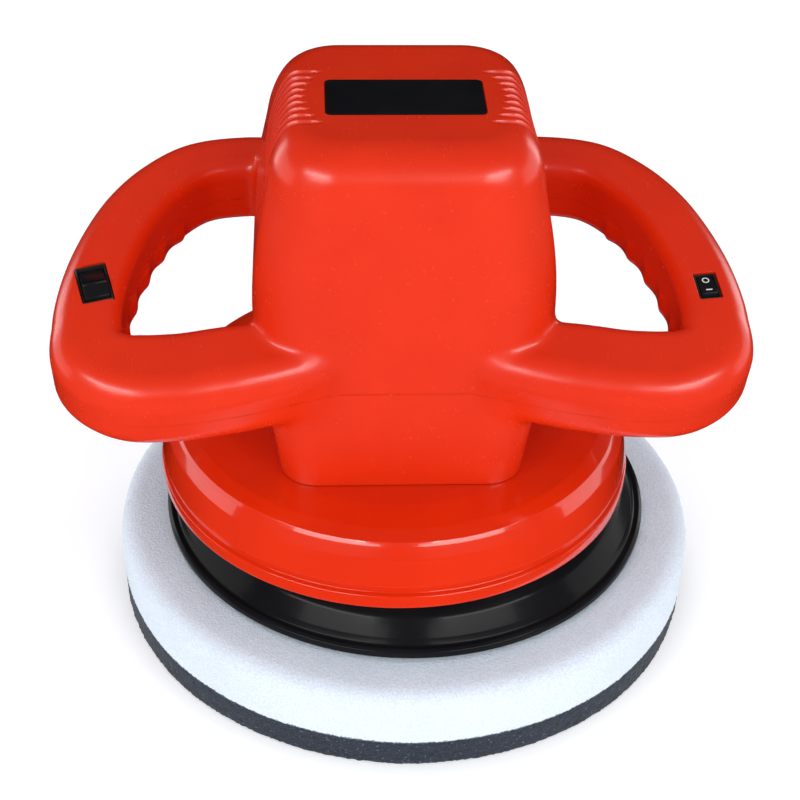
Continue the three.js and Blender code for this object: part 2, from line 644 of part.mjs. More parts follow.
// The backing plate: a shallow dome over a flat ring, with a rolled lip round its edge.
function backingPlate() {
  const [R, z] = [PLATE_RADIUS, PLATE_BOTTOM];
  const dome = turned([
    [60, z], [R - 1, z], [R, z + 1], [R, z + 3.4], [R - 1.4, z + 4.4], [R - 3.4, z + 4], [R - 5, z + 6.5],
    [R - 10, z + 13], [R - 17, z + 17.4], [70, z + 20], [30, z + 22], [18.6, z + 22], [18.6, z + 18.6],
    [30, z + 18.6], [68, z + 16.6], [R - 20, z + 13], [R - 15, z + 7], [R - 14, z + 3.2], [60, z + 3.2],
  ], FINE, ORBIT);
  return geometryOf(cut(solid(dome), ...hubScrewHoles()));
}

const HUB_SCREWS = [45, 135, 225, 315].map((deg) => THREE.MathUtils.degToRad(deg))
  .map((a) => [ORBIT + HUB_SCREW.ring * Math.cos(a), HUB_SCREW.ring * Math.sin(a)]);
const hubScrewHoles = () => HUB_SCREWS.map(([x, y]) => solid(rod(2, 50, 62, SMALL, x, y)));

function hub() {
  const { flange, flangeBottom, flangeTop, radius, bore, mouth, bottom, top } = HUB;
  const shelf = bottom + 3.7;
  const body = turned([
    [mouth, bottom], [radius, bottom], [radius, flangeBottom], [flange, flangeBottom], [flange, flangeTop],
    [radius, flangeTop], [radius, top], [bore, top], [bore, shelf], [mouth, shelf],
  ], ROUND, ORBIT);
  return geometryOf(cut(solid(body), ...hubScrewHoles()));
}

function hubScrew(x, y) {
  const { head, headBottom, headTop, shank, end } = HUB_SCREW;
  return turned([
    [0, end], [shank, end], [shank, headBottom], [head, headBottom], [head, headTop], [0, headTop],
  ], SMALL, x, y);
}

function whiteFoam() {
  const [R, z0, z1] = [PAD_RADIUS, GREY_FOAM_TOP + GAP, WHITE_FOAM_TOP];
  return turned([[0, z0], [R, z0], [R, z1 - 8], [R - 2.4, z1 - 2.4], [R - 8, z1], [0, z1]], FINE, ORBIT);
}

function greyFoam() {
  const R = PAD_RADIUS - 0.5;
  return turned([[0, 0], [R - 2, 0], [R, 2], [R, GREY_FOAM_TOP], [0, GREY_FOAM_TOP]], FINE, ORBIT);
}

// A screw with its head at the bottom, from z upwards.
function screw(x, y, z, end, { head, headHeight, shank }) {
  return turned([[0, z], [head, z], [head, z + headHeight], [shank, z + headHeight], [shank, end], [0, end]],
    SMALL, x, y);
}

// ---- Assembly ---------------------------------------------------------------------------------------

const polisher = new THREE.Group();

function add(name, geometry, finish, parent = polisher) {
  const mesh = new THREE.Mesh(geometry, finish);
  mesh.name = name;
  parent.add(mesh);
  return mesh;
}

function addHousing() {
  add('upper_housing', geometryOf(upperHousing), RED);
  add('lower_housing', geometryOf(lowerHousing), RED);
  add('base_skirt', skirt(), RED);
  const recessFloor = TOP - LABEL.recess;
  add('label_plate', extruded(labelOutline(0), recessFloor + GAP, recessFloor + LABEL.thick), BLACK_GLOSS);
  add('cable_gland', gland(), BLACK);
  HOUSING_SCREWS.forEach(([x, y], i) => {
    const { shelf, end } = housingScrewLevels(y);
    const z = shelf - HOUSING_SCREW.headHeight - GAP;
    add(`housing_screw_${i + 1}`, screw(x, y, z, end, HOUSING_SCREW), STEEL);
  });
  BASE_SCREWS.forEach(([x, y], i) => {
    const z = SKIRT_TOP - SKIRT_WALL - GAP - BASE_SCREW.headHeight;
    add(`base_screw_${i + 1}`, screw(x, y, z, BASE_SCREW.end, BASE_SCREW), STEEL);
  });
}

function addSwitches() {
  for (const [name, size] of [['power', POWER], ['speed', SPEED]]) {
    const place = switchPlace(size);
    polisher.add(place);
    add(`${name}_switch_body`, switchBody(size), BLACK, place);
    add(`${name}_rocker`, rocker(size), BLACK_GLOSS, place);
  }
}

function addMotor() {
  add('stator_core', statorCore(), LAMINATION);
  add('field_coil_left', fieldCoil(-1), COPPER);
  add('field_coil_right', fieldCoil(1), COPPER);
  add('lower_bearing_plate', lowerBearingPlate(), ALUMINIUM);
  add('upper_bearing_bracket', upperBracket(), ALUMINIUM);
  for (const [side, turn] of [['right', 0], ['left', Math.PI]]) {
    add(`brush_holder_${side}`, brushHolder().rotateZ(turn), BRASS);
    add(`carbon_brush_${side}`, carbonBrush().rotateZ(turn), CARBON);
    add(`brush_spring_${side}`, brushSpring().rotateZ(turn), STEEL);
  }
  add('circuit_board', box(-22, 22, -50.2, -48.6, 182, 205), BOARD);
  add('suppression_capacitor', rod(4.2, 184, 202, 16, 18, -43.9), BLACK);
  add('motor_shaft', turned([[0, 68.3], [SHAFT, 68.3], [SHAFT, 99], [SHAFT_MIDDLE, 99], [SHAFT_MIDDLE, 201.5],
    [SHAFT_UPPER, 201.5], [SHAFT_UPPER, 212], [0, 212]]), STEEL);
  add('armature_core', armatureCore(), LAMINATION);
  add('armature_winding_upper', endWinding(170.3, 177.5), COPPER);
  add('armature_winding_lower', endWinding(118, 125.7), COPPER);
  add('commutator', tube(SHAFT_MIDDLE + GAP, COMMUTATOR, 180, 197), COPPER);
  add('cooling_fan', coolingFan(), FAN_PLASTIC);
  add('eccentric_counterweight', eccentric(), CAST_IRON);
}

function addBearings() {
  for (const [name, bore, outer, z0, z1, x, balls] of BEARINGS) {
    const ring = races(bore, outer, z0, z1, x);
    add(`${name}_inner_race`, ring.inner, STEEL);
    add(`${name}_outer_race`, ring.outer, STEEL);
    add(`${name}_ball_cage`, cage(bore, outer, z0, z1, x, balls), STEEL);
  }
}

function addPad() {
  add('pad_bolt', screw(ORBIT, 0, PAD_BOLT_BOTTOM, PAD_BOLT_END, PAD_BOLT), STEEL);
  add('pad_washer', tube(PAD_BOLT.shank + GAP, 8.6, 43.8, 45.7, ROUND, ORBIT), STEEL);
  add('pad_hub', hub(), ALUMINIUM);
  HUB_SCREWS.forEach(([x, y], i) => add(`hub_screw_${i + 1}`, hubScrew(x, y), STEEL));
  add('backing_plate', backingPlate(), BLACK_GLOSS);
  add('hook_disc', rod(97, WHITE_FOAM_TOP + GAP, PLATE_BOTTOM - GAP, FINE, ORBIT), LOOP);
  add('white_foam_pad', whiteFoam(), WHITE_FOAM);
  add('grey_foam_pad', greyFoam(), GREY_FOAM);
}

addHousing();
addSwitches();
addMotor();
addBearings();
addPad();

export default polisher;
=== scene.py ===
import itertools
import json
import math

import bmesh
import bpy
import numpy as np
from mathutils import Matrix, Vector, noise


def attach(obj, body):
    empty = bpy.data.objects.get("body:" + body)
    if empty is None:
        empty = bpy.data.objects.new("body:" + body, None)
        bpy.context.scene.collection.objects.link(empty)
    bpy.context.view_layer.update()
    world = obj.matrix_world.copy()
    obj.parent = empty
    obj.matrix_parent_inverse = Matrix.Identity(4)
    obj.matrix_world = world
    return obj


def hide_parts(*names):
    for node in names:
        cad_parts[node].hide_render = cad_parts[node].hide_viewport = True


# The shapes are worked out in millimetres, as in the CAD model, and every mesh is stored in metres.

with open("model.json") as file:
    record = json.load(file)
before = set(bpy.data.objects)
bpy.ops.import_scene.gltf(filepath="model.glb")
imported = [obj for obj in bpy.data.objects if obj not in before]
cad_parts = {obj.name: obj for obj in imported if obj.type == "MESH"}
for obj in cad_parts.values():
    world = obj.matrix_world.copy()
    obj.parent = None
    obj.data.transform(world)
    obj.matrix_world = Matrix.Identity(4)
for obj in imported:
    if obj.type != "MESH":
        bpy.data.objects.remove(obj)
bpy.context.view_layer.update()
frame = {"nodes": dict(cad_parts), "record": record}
MM = 0.001

# ---- Driving dimensions, in millimetres ----

GAP = 0.3
ORBIT = 5
PAD_RADIUS = 120
GREY_FOAM_TOP = 12.7
WHITE_FOAM_TOP = 36
PLATE_BOTTOM = 37.3
PLATE_RADIUS = 100
SKIRT_BOTTOM = 60
SKIRT_TOP = 91
SKIRT_RADIUS = 96
SKIRT_WALL = 2.7
WALL = 3
NECK_BOTTOM = SKIRT_TOP + GAP
CROWN_BOTTOM = 205
TOP = 228

# Height, half width, front reach, rear reach and corner radius of the motor tower.
TOWER = np.array([
    [91.3, 46, 60.5, 50, 14],
    [127, 53, 60, 50, 18],
    [150, 56, 58.5, 53, 20],
    [170, 56, 57.5, 55.5, 21],
    [188, 53.5, 56.5, 55, 22],
    [205, 49.5, 55.5, 51.5, 23],
    [228, 47, 55, 49, 23],
])
TOWER_BLEND = 8  # the height over which one section runs into the next
TOWER_CLOSED_BELOW = 84
# The crown's flat top, and how much higher its rounding starts at the front than at the rear.
CROWN = {"half": 38, "front": 40, "rear": 31, "corner": 16, "front_delay": 8}

# The handles' middle plane passes through this y and z, and rises towards the rear.
HANDLE_PLANE_Y = -57
HANDLE_PLANE_Z = 134
HANDLE_SLOPE = math.atan(0.288)
HANDLE_HALF_HEIGHT = 17
HANDLE_CORNER = 11
HANDLE_INNER_CORNER = 6  # at the top, on the side of the opening
# Half widths of the handle, from its front end at place 0 to its rear end at place 1.
HANDLE_HALF_WIDTHS = {
    "place": [0, 0.12, 0.27, 0.42, 0.7, 0.85, 1],
    "half": [14.5, 16, 16, 13.2, 12.6, 11.8, 11.8],
}
# The right handle's centre line in plan, from the front bar round the grip to the rear bar.
HANDLE_LINE = np.array([
    [36, -47.5], [50, -51], [66, -54], [85, -57], [103.5, -56.2], [114.5, -48.5], [117, -33], [115, -13],
    [109.5, 6], [102.5, 21], [92.5, 34], [79, 44], [60, 47.5], [40, 46.5],
], float)
GRIP = {"start": 0.39, "end": 0.745, "fingers": 5, "depth": 1.3}  # between places on the handle
FILLET = 4  # between the handles and the tower

# Flared slots across each shoulder of the crown. The curve is how much further in the first and
# last reach than the middle one.
VENTS = {"count": 9, "pitch": 4.9, "middle": -8, "width": 1.8, "inner_end": 37, "outer_end": 60,
         "curve": 6, "bottom": 204, "flare": 3.7, "flare_depth": 1.3}
SHOULDER_MIDDLE = (26, 192)  # x and z, inside the crown
LABEL = {"width": 57, "length": 27, "y": -8.5, "thick": 1.2, "recess": 0.9, "corner": 2}

# The rocker's width, the radius (reach) and end angle (tip) of its arcs, the height of its middle
# (ridge) over the grip, and its tilt at rest.
SWITCH_X = 114.5
SWITCH_DEPTH = 13
PIVOT_DEPTH = 3.2
RIDGE_FORWARD = 2.2  # of the raised ridge on the speed rocker, from its pivot
SWITCHES = {
    "power": {"side": 1, "y": -23.6, "turn": 6, "width": 8.4, "length": 12.4, "rocker": 6.4,
              "reach": 5.2, "tip": 35, "ridge": -0.4, "tilt": 9},
    "speed": {"side": -1, "y": -20.6, "turn": 15, "width": 11.4, "length": 18, "rocker": 9.4,
              "reach": 8, "tip": 18, "ridge": 1.7, "tilt": 7},
}

# The seat is over the handle's underside, the other heights are over the handle's middle, and the
# base screws' end is over the floor.
HOUSING_SCREWS = [(side * x, y) for side in (-1, 1) for x, y in ((70, -55), (108, 8), (66, 46))]
HOUSING_SCREW = {"head": 3.6, "head_height": 2.6, "shank": 1.8, "seat": 8, "end": 9}
HOUSING_BOSS = {"radius": 6, "bottom": -20, "top": 13}
HEAD_HOLE = {"radius": 4.2, "bottom": -25, "top": -8}
BASE_SCREWS = [(-33, -44), (33, -44), (-33, 32), (33, 32)]
BASE_SCREW = {"head": 3.4, "head_height": 2.5, "shank": 1.8, "end": 110}
HUB_SCREWS = [(ORBIT + 24 * math.cos(a), 24 * math.sin(a)) for a in np.radians([45, 135, 225, 315])]
GLAND = {"z": 112, "hole": 7.3, "bore": 3.4, "flange": 9, "y": 50}
HOOK_DISC = {"radius": 97, "bottom": 36.3, "top": 37}
FOAM_POINTS = {"spacing": 1.1, "fine_from": 84, "sides": 720}

TURNED_SIDES = 192
SKIN_PITCH = 1.35  # of the grid that the housing's outside is worked out on
HOLLOW_PITCH = 2.6

# ---- Camera, light and floor ----

TARGET = Vector((0, 0, 0.080))
CAMERA_DISTANCE = 0.7403
CAMERA_ELEVATION = math.radians(36.75)
CAMERA_AZIMUTH = math.radians(-3.4)
CAMERA_ROLL = math.radians(1.5)
LENS = 81
LENS_SHIFT = (0.0059, 0.0170)

# Pale surroundings give most of the light; soft boxes add to it and draw the highlights.
LIT_POINT = (0, 0, 0.12)
SURROUNDINGS = {"Color": (0.93, 0.96, 1, 1), "Strength": 0.75}
FLOOR_RADIUS = 4000
FLOOR_GLOW = 0.27


def add_camera():
    away = Vector((
        math.sin(CAMERA_AZIMUTH) * math.cos(CAMERA_ELEVATION),
        -math.cos(CAMERA_AZIMUTH) * math.cos(CAMERA_ELEVATION),
        math.sin(CAMERA_ELEVATION),
    ))
    camera = bpy.data.objects.new("camera", bpy.data.cameras.new("camera"))
    camera.data.lens = LENS
    camera.data.shift_x, camera.data.shift_y = LENS_SHIFT
    turn = away.to_track_quat("Z", "Y").to_matrix().to_4x4() @ Matrix.Rotation(CAMERA_ROLL, 4, "Z")
    camera.matrix_world = Matrix.Translation(TARGET + away * CAMERA_DISTANCE) @ turn
    bpy.context.scene.collection.objects.link(camera)
    bpy.context.scene.camera = camera


def add_area_light(name, place, size, power, mirrored=True, lights=True):
    """A soft box facing the part. It may be left out of reflections, or show in them alone."""
    light = bpy.data.lights.new(name, "AREA")
    light.shape = "RECTANGLE"
    light.size, light.size_y = size
    light.energy = power
    lamp = bpy.data.objects.new(name, light)
    towards = Vector(place) - Vector(LIT_POINT)
    lamp.matrix_world = Matrix.Translation(place) @ towards.to_track_quat("Z", "Y").to_matrix().to_4x4()
    lamp.visible_glossy = mirrored
    lamp.visible_diffuse = lights
    bpy.context.scene.collection.objects.link(lamp)


def add_lights():
    world = bpy.data.worlds.new("studio")
    world.use_nodes = True
    for name, value in SURROUNDINGS.items():
        world.node_tree.nodes["Background"].inputs[name].default_value = value
    world.cycles_visibility.glossy = False
    bpy.context.scene.world = world
    for name, x in (("left", -1), ("right", 1)):
        add_area_light(f"front_{name}_box", (x * 0.95, -1.2, 0.6), (1.3, 0.8), 5.5, mirrored=False)
        add_area_light(f"side_{name}_panel", (x * 1.5, 0.35, 0.35), (1.5, 0.8), 5, lights=False)
        add_area_light(f"middle_{name}_box", (x * 0.74, -1.3, 0.86), (1.1, 0.26), 4)
        add_area_light(f"high_{name}_strip", (x * 0.8, -1.0, 1.03), (1.1, 0.22), 9, lights=False)
        add_area_light(f"rear_{name}_strip", (x * 1.1, 0.9, 0.35), (0.3, 0.8), 2)
    bpy.context.scene.view_settings.view_transform = "Standard"


# ---- Meshes ----


def to_mesh(name, vertices, faces, sharp_angle=32):
    """A smooth-shaded mesh from points in millimetres. Edges past the angle stay sharp."""
    mesh = bpy.data.meshes.new(name)
    mesh.from_pydata((np.asarray(vertices, float) * MM).tolist(), [], faces)
    return finished(mesh, sharp_angle)


def finished(mesh, sharp_angle=32):
    """Cleans the mesh, turns its normals outward and sets its shading."""
    mesh.validate()
    shape = bmesh.new()
    shape.from_mesh(mesh)
    bmesh.ops.remove_doubles(shape, verts=shape.verts, dist=1e-6)
    bmesh.ops.dissolve_degenerate(shape, edges=shape.edges, dist=1e-7)
    bmesh.ops.recalc_face_normals(shape, faces=shape.faces)
    shape.to_mesh(mesh)
    shape.free()
    mesh.shade_smooth()
    mesh.set_sharp_from_angle(angle=math.radians(sharp_angle))
    return mesh


def new_object(name, mesh):
    item = bpy.data.objects.new(name, mesh)
    bpy.context.scene.collection.objects.link(item)
    return item


def cutter(shape):
    return new_object("cutter", to_mesh("cutter", *shape))


def carve(target, tool):
    """Cuts the tool out of the target and removes the tool."""
    modifier = target.modifiers.new("carve", "BOOLEAN")
    modifier.operation = "DIFFERENCE"
    modifier.solver = "MANIFOLD"
    modifier.object = tool
    bpy.context.view_layer.update()
    cut = bpy.data.meshes.new_from_object(target.evaluated_get(bpy.context.evaluated_depsgraph_get()))
    target.modifiers.clear()
    target.data = cut
    bpy.data.objects.remove(tool)


def joined(*shapes):
    """One mesh from several (vertices, faces) pairs."""
    vertices, faces, start = [], [], 0
    for points, polygons in shapes:
        vertices.extend(map(tuple, points))
        faces.extend([tuple(i + start for i in polygon) for polygon in polygons])
        start += len(points)
    return vertices, faces


def prism(outline, z0, z1):
    """An upright prism on an outline of (x, y) points, given anticlockwise."""
    n = len(outline)
    points = [(x, y, z) for z in (z0, z1) for x, y in outline]
    sides = [(i, (i + 1) % n, (i + 1) % n + n, i + n) for i in range(n)]
    return points, sides + [tuple(range(n - 1, -1, -1)), tuple(range(n, 2 * n))]


def block(x0, x1, y0, y1, z0, z1):
    return prism([(x0, y0), (x1, y0), (x1, y1), (x0, y1)], z0, z1)


def rod(radius, z0, z1, x=0, y=0, sides=48):
    turn = np.linspace(0, 2 * math.pi, sides, endpoint=False)
    return prism([(x + radius * math.cos(a), y + radius * math.sin(a)) for a in turn], z0, z1)


def rounded_rectangle(half_x, half_y, corner, y=0, steps=8):
    centres = [(1, -1), (1, 1), (-1, 1), (-1, -1)]
    return [
        (sx * (half_x - corner) + corner * math.cos(a), y + sy * (half_y - corner) + corner * math.sin(a))
        for quarter, (sx, sy) in enumerate(centres)
        for a in np.linspace(quarter - 1, quarter, steps + 1) * math.pi / 2
    ]


def moved(shape, matrix):
    points, faces = shape
    return [tuple(matrix @ Vector(p)) for p in points], faces


def in_metres(matrix):
    """The same move for a mesh that is stored in metres."""
    return Matrix.Scale(MM, 4) @ matrix @ Matrix.Scale(1 / MM, 4)


def stacked(outlines):
    """A closed solid through outlines of equal length, from the lowest up."""
    n = len(outlines[0])
    faces = [
        (k * n + i, k * n + (i + 1) % n, (k + 1) * n + (i + 1) % n, (k + 1) * n + i)
        for k in range(len(outlines) - 1) for i in range(n)
    ]
    last = (len(outlines) - 1) * n
    faces += [tuple(range(n - 1, -1, -1)), tuple(range(last, last + n))]
    return [point for outline in outlines for point in outline], faces


def filleted(outline, radius, steps=5):
    """The closed outline with rounded corners. A point's third number, if any, is its own radius."""
    rounded = []
    for before, corner, after in zip(outline[-1:] + outline, outline, outline[1:] + outline[:1]):
        own = corner[2] if len(corner) > 2 else radius
        p, a, b = (np.array(point[:2], float) for point in (corner, before, after))
        reach_a, reach_b = np.linalg.norm(a - p), np.linalg.norm(b - p)
        if own == 0 or p[0] == 0:
            rounded.append(tuple(p))
            continue
        u, v = (a - p) / reach_a, (b - p) / reach_b
        half_angle = math.acos(float(np.clip(u @ v, -1, 1))) / 2
        length = min(own / math.tan(half_angle), 0.48 * reach_a, 0.48 * reach_b)
        start, end = p + u * length, p + v * length
        for s in np.linspace(0, 1, steps):
            rounded.append(tuple((1 - s) ** 2 * start + 2 * s * (1 - s) * p + s ** 2 * end))
    return rounded


def turned(profile, x=0, y=0, sides=TURNED_SIDES):
    """A solid turned about an upright axis from a closed profile of (radius, height) points."""
    n = len(profile)
    turn = np.linspace(0, 2 * math.pi, sides, endpoint=False)
    points = [(x + r * math.cos(a), y + r * math.sin(a), z) for a in turn for r, z in profile]
    faces = [
        (i * n + j, (i + 1) % sides * n + j, (i + 1) % sides * n + (j + 1) % n, i * n + (j + 1) % n)
        for i in range(sides) for j in range(n)
    ]
    return points, faces


# ---- The housing's outer form, as a signed distance ----


def smooth_step(value):
    value = np.clip(value, 0, 1)
    return value * value * (3 - 2 * value)


def rounded_box_distance(x, y, half_x, half_y, corner):
    qx = np.abs(x) - (half_x - corner)
    qy = np.abs(y) - (half_y - corner)
    return np.hypot(np.maximum(qx, 0), np.maximum(qy, 0)) + np.minimum(np.maximum(qx, qy), 0) - corner


def smoothed_tower():
    """The tower's sections at every half millimetre of height, without corners at the stations."""
    step = 0.5
    levels = np.arange(70, 250, step)
    reach = np.arange(-3 * TOWER_BLEND, 3 * TOWER_BLEND + step, step)
    weights = np.exp(-0.5 * (reach / TOWER_BLEND) ** 2)
    weights /= weights.sum()
    columns = []
    for column in TOWER.T[1:]:
        padded = np.pad(np.interp(levels, TOWER[:, 0], column), len(reach) // 2, "edge")
        columns.append(np.convolve(padded, weights, "valid"))
    return levels, columns


TOWER_LEVELS, TOWER_COLUMNS = smoothed_tower()


def tower_distance(x, y, z):
    """Distance to the tower, whose crown is a quarter ellipse from the side up to the flat top."""
    half, front, rear, corner = (np.interp(z, TOWER_LEVELS, column) for column in TOWER_COLUMNS)
    to_side = rounded_box_distance(x, y - (rear - front) / 2, half, (front + rear) / 2, corner)
    middle = (CROWN["rear"] - CROWN["front"]) / 2
    deep = (CROWN["rear"] + CROWN["front"]) / 2
    to_crown = rounded_box_distance(x, y - middle, CROWN["half"], deep, CROWN["corner"])
    width = to_crown - to_side
    start = CROWN_BOTTOM + CROWN["front_delay"] * smooth_step((10 - y) / 50)
    climb = np.maximum((z - start) / (TOP - start), 0)
    side = np.maximum(to_crown / width, 0)
    reach = np.hypot(side, climb)
    slope = np.hypot(side / width, climb / (TOP - start)) / np.maximum(reach, 1e-3)
    return np.maximum((reach - 1) / np.maximum(slope, 1 / 30), TOWER_CLOSED_BELOW - z)


def smooth_line(points, steps):
    """A centripetal Catmull-Rom curve through the points."""
    points = np.vstack([2 * points[0] - points[1], points, 2 * points[-1] - points[-2]])
    gaps = np.linalg.norm(np.diff(points, axis=0), axis=1) ** 0.5
    s = np.linspace(0, 1, steps, endpoint=False)[:, None]
    line = []
    for i in range(1, len(points) - 2):
        p0, p1, p2, p3 = points[i - 1:i + 3]
        g0, g1, g2 = gaps[i - 1:i + 2]
        leave = ((p1 - p0) / g0 - (p2 - p0) / (g0 + g1) + (p2 - p1) / g1) * g1
        arrive = ((p2 - p1) / g1 - (p3 - p1) / (g1 + g2) + (p3 - p2) / g2) * g1
        line.append(
            (2 * s ** 3 - 3 * s ** 2 + 1) * p1 + (s ** 3 - 2 * s ** 2 + s) * leave
            + (3 * s ** 2 - 2 * s ** 3) * p2 + (s ** 3 - s ** 2) * arrive)
    return np.vstack(line + [points[-2:-1]])


class HandleMap:
    """For points of the handles' middle plane, the place along the centre line and the offset from it.

    The offset is negative on the side of the grip's opening.
    """

    STEP = 0.5
    LOW = np.array([0.0, -26.0])
    SIZE = (276, 312)

    def __init__(self):
        plan = HANDLE_LINE.copy()
        plan[:, 1] = (plan[:, 1] - HANDLE_PLANE_Y) / math.cos(HANDLE_SLOPE)
        line = smooth_line(plan, 14)
        lengths = np.linalg.norm(np.diff(line, axis=0), axis=1)
        along = np.concatenate([[0], np.cumsum(lengths)]) / lengths.sum()
        axes = (low + self.STEP * np.arange(size) for low, size in zip(self.LOW, self.SIZE))
        x, v = np.meshgrid(*axes, indexing="ij")
        self.offset = np.full(x.shape, 1e3)
        self.place = np.zeros(x.shape)
        for a, b, s0, s1 in zip(line, line[1:], along, along[1:]):
            dx, dv = b - a
            share = np.clip(((x - a[0]) * dx + (v - a[1]) * dv) / (dx * dx + dv * dv), 0, 1)
            away = np.hypot(x - a[0] - share * dx, v - a[1] - share * dv)
            nearer = away < np.abs(self.offset)
            side = np.where(dx * (v - a[1]) - dv * (x - a[0]) > 0, -1, 1)
            self.offset[nearer] = (side * away)[nearer]
            self.place[nearer] = (s0 + share * (s1 - s0))[nearer]

    def look_up(self, x, v):
        u = np.clip((x - self.LOW[0]) / self.STEP, 0, self.SIZE[0] - 1.001)
        w = np.clip((v - self.LOW[1]) / self.STEP, 0, self.SIZE[1] - 1.001)
        i, j = u.astype(int), w.astype(int)
        u, w = u - i, w - j
        return [
            (table[i, j] * (1 - u) + table[i + 1, j] * u) * (1 - w)
            + (table[i, j + 1] * (1 - u) + table[i + 1, j + 1] * u) * w
            for table in (self.offset, self.place)
        ]


HANDLE_MAP = HandleMap()


def finger_ridge(place):
    """How far the ridges between the finger grooves stand out, at a place along the handle."""
    along = (place - GRIP["start"]) / (GRIP["end"] - GRIP["start"])
    outside = np.abs(along - 0.5) - 0.5
    ridge = GRIP["depth"] * (1 - np.abs(np.sin(along * GRIP["fingers"] * math.pi)))
    return ridge * np.clip(1 - outside / 0.04, 0, 1)


def handle_distance(x, y, z):
    """Distance to both handles. The finger ridges show on the lower half only."""
    level_y, level_z = y - HANDLE_PLANE_Y, z - HANDLE_PLANE_Z
    along = level_y * math.cos(HANDLE_SLOPE) + level_z * math.sin(HANDLE_SLOPE)
    up = level_z * math.cos(HANDLE_SLOPE) - level_y * math.sin(HANDLE_SLOPE)
    offset, place = HANDLE_MAP.look_up(np.abs(x), along)
    half = np.interp(place, HANDLE_HALF_WIDTHS["place"], HANDLE_HALF_WIDTHS["half"])
    ridge = finger_ridge(place) * np.clip(-up / 1.5, 0, 1)
    corner = np.where((up > 0) & (offset < 0), HANDLE_INNER_CORNER, HANDLE_CORNER)
    return rounded_box_distance(offset + ridge / 2, up, half + ridge / 2, HANDLE_HALF_HEIGHT, corner)


def housing_distance(points):
    """Distance to the tower and handles, run together with a fillet."""
    x, y, z = points
    a, b = tower_distance(x, y, z), handle_distance(x, y, z)
    overlap = np.maximum(FILLET - np.abs(a - b), 0) / FILLET
    return np.minimum(a, b) - overlap ** 2 * FILLET / 4


def level_surface(distance, low, high, pitch, level):
    """The closed surface where distance equals level, as points and quadrilaterals."""
    axes = [np.arange(l, h + pitch, pitch) for l, h in zip(low, high)]
    values = distance(np.meshgrid(*axes, indexing="ij")) - level
    inside = values < 0
    shape = np.array(inside.shape) - 1
    corners = list(itertools.product((0, 1), repeat=3))
    window = [inside[i:i + shape[0], j:j + shape[1], k:k + shape[2]] for i, j, k in corners]
    full = sum(w.astype(np.int8) for w in window)
    cells = np.argwhere((full > 0) & (full < 8))
    number = np.full(shape, -1)
    number[tuple(cells.T)] = np.arange(len(cells))

    total, crossings = np.zeros((len(cells), 3)), np.zeros(len(cells))
    for start, end in itertools.combinations(corners, 2):
        if sum(abs(a - b) for a, b in zip(start, end)) != 1:
            continue
        v0, v1 = (values[tuple((cells + corner).T)] for corner in (start, end))
        crossed = (v0 < 0) != (v1 < 0)
        share = np.where(crossed, v0 / np.where(crossed, v0 - v1, 1), 0)[:, None]
        total += crossed[:, None] * (np.array(start) + share * (np.array(end) - np.array(start)))
        crossings += crossed
    points = np.array(low) + pitch * (cells + total / crossings[:, None])

    faces = []
    for axis in range(3):
        ahead = np.eye(3, dtype=int)[axis]
        upper = inside[tuple(slice(a, None) for a in ahead)]
        lower = inside[tuple(slice(None, -1 if a else None) for a in ahead)]
        edges = np.argwhere(upper != lower)
        edges = edges[np.all(edges[:, [i for i in range(3) if i != axis]] > 0, axis=1)]
        u, v = (np.eye(3, dtype=int)[(axis + k) % 3] for k in (1, 2))
        ring = [number[tuple((edges - offset).T)] for offset in (u + v, v, 0 * u, u)]
        quads = np.stack(ring, axis=1)
        outward = lower[tuple(edges.T)]
        quads[~outward] = quads[~outward, ::-1]
        faces.append(quads)
    return settled(points, np.vstack(faces), distance, level)


def settled(points, faces, distance, level, rounds=6, evened_rounds=4):
    """Evens out the surface's points and drops them back onto it."""
    links = np.vstack([faces[:, [i, (i + 1) % 4]] for i in range(4)])
    n = len(points)
    count = np.bincount(links[:, 0], minlength=n)[:, None]
    reach = 0.1
    for round_number in range(rounds):
        if round_number < evened_rounds:
            neighbours = points[links[:, 1]].T
            total = np.stack([np.bincount(links[:, 0], axis, minlength=n) for axis in neighbours], axis=1)
            points = points + 0.5 * (total / count - points)
        value = distance(points.T) - level
        slope = np.stack([
            distance((points + step).T) - distance((points - step).T) for step in reach * np.eye(3)
        ], axis=1) / (2 * reach)
        points = points - slope * (value / np.maximum((slope ** 2).sum(axis=1), 0.2))[:, None]
    return points, faces.tolist()


# ---- Materials ----


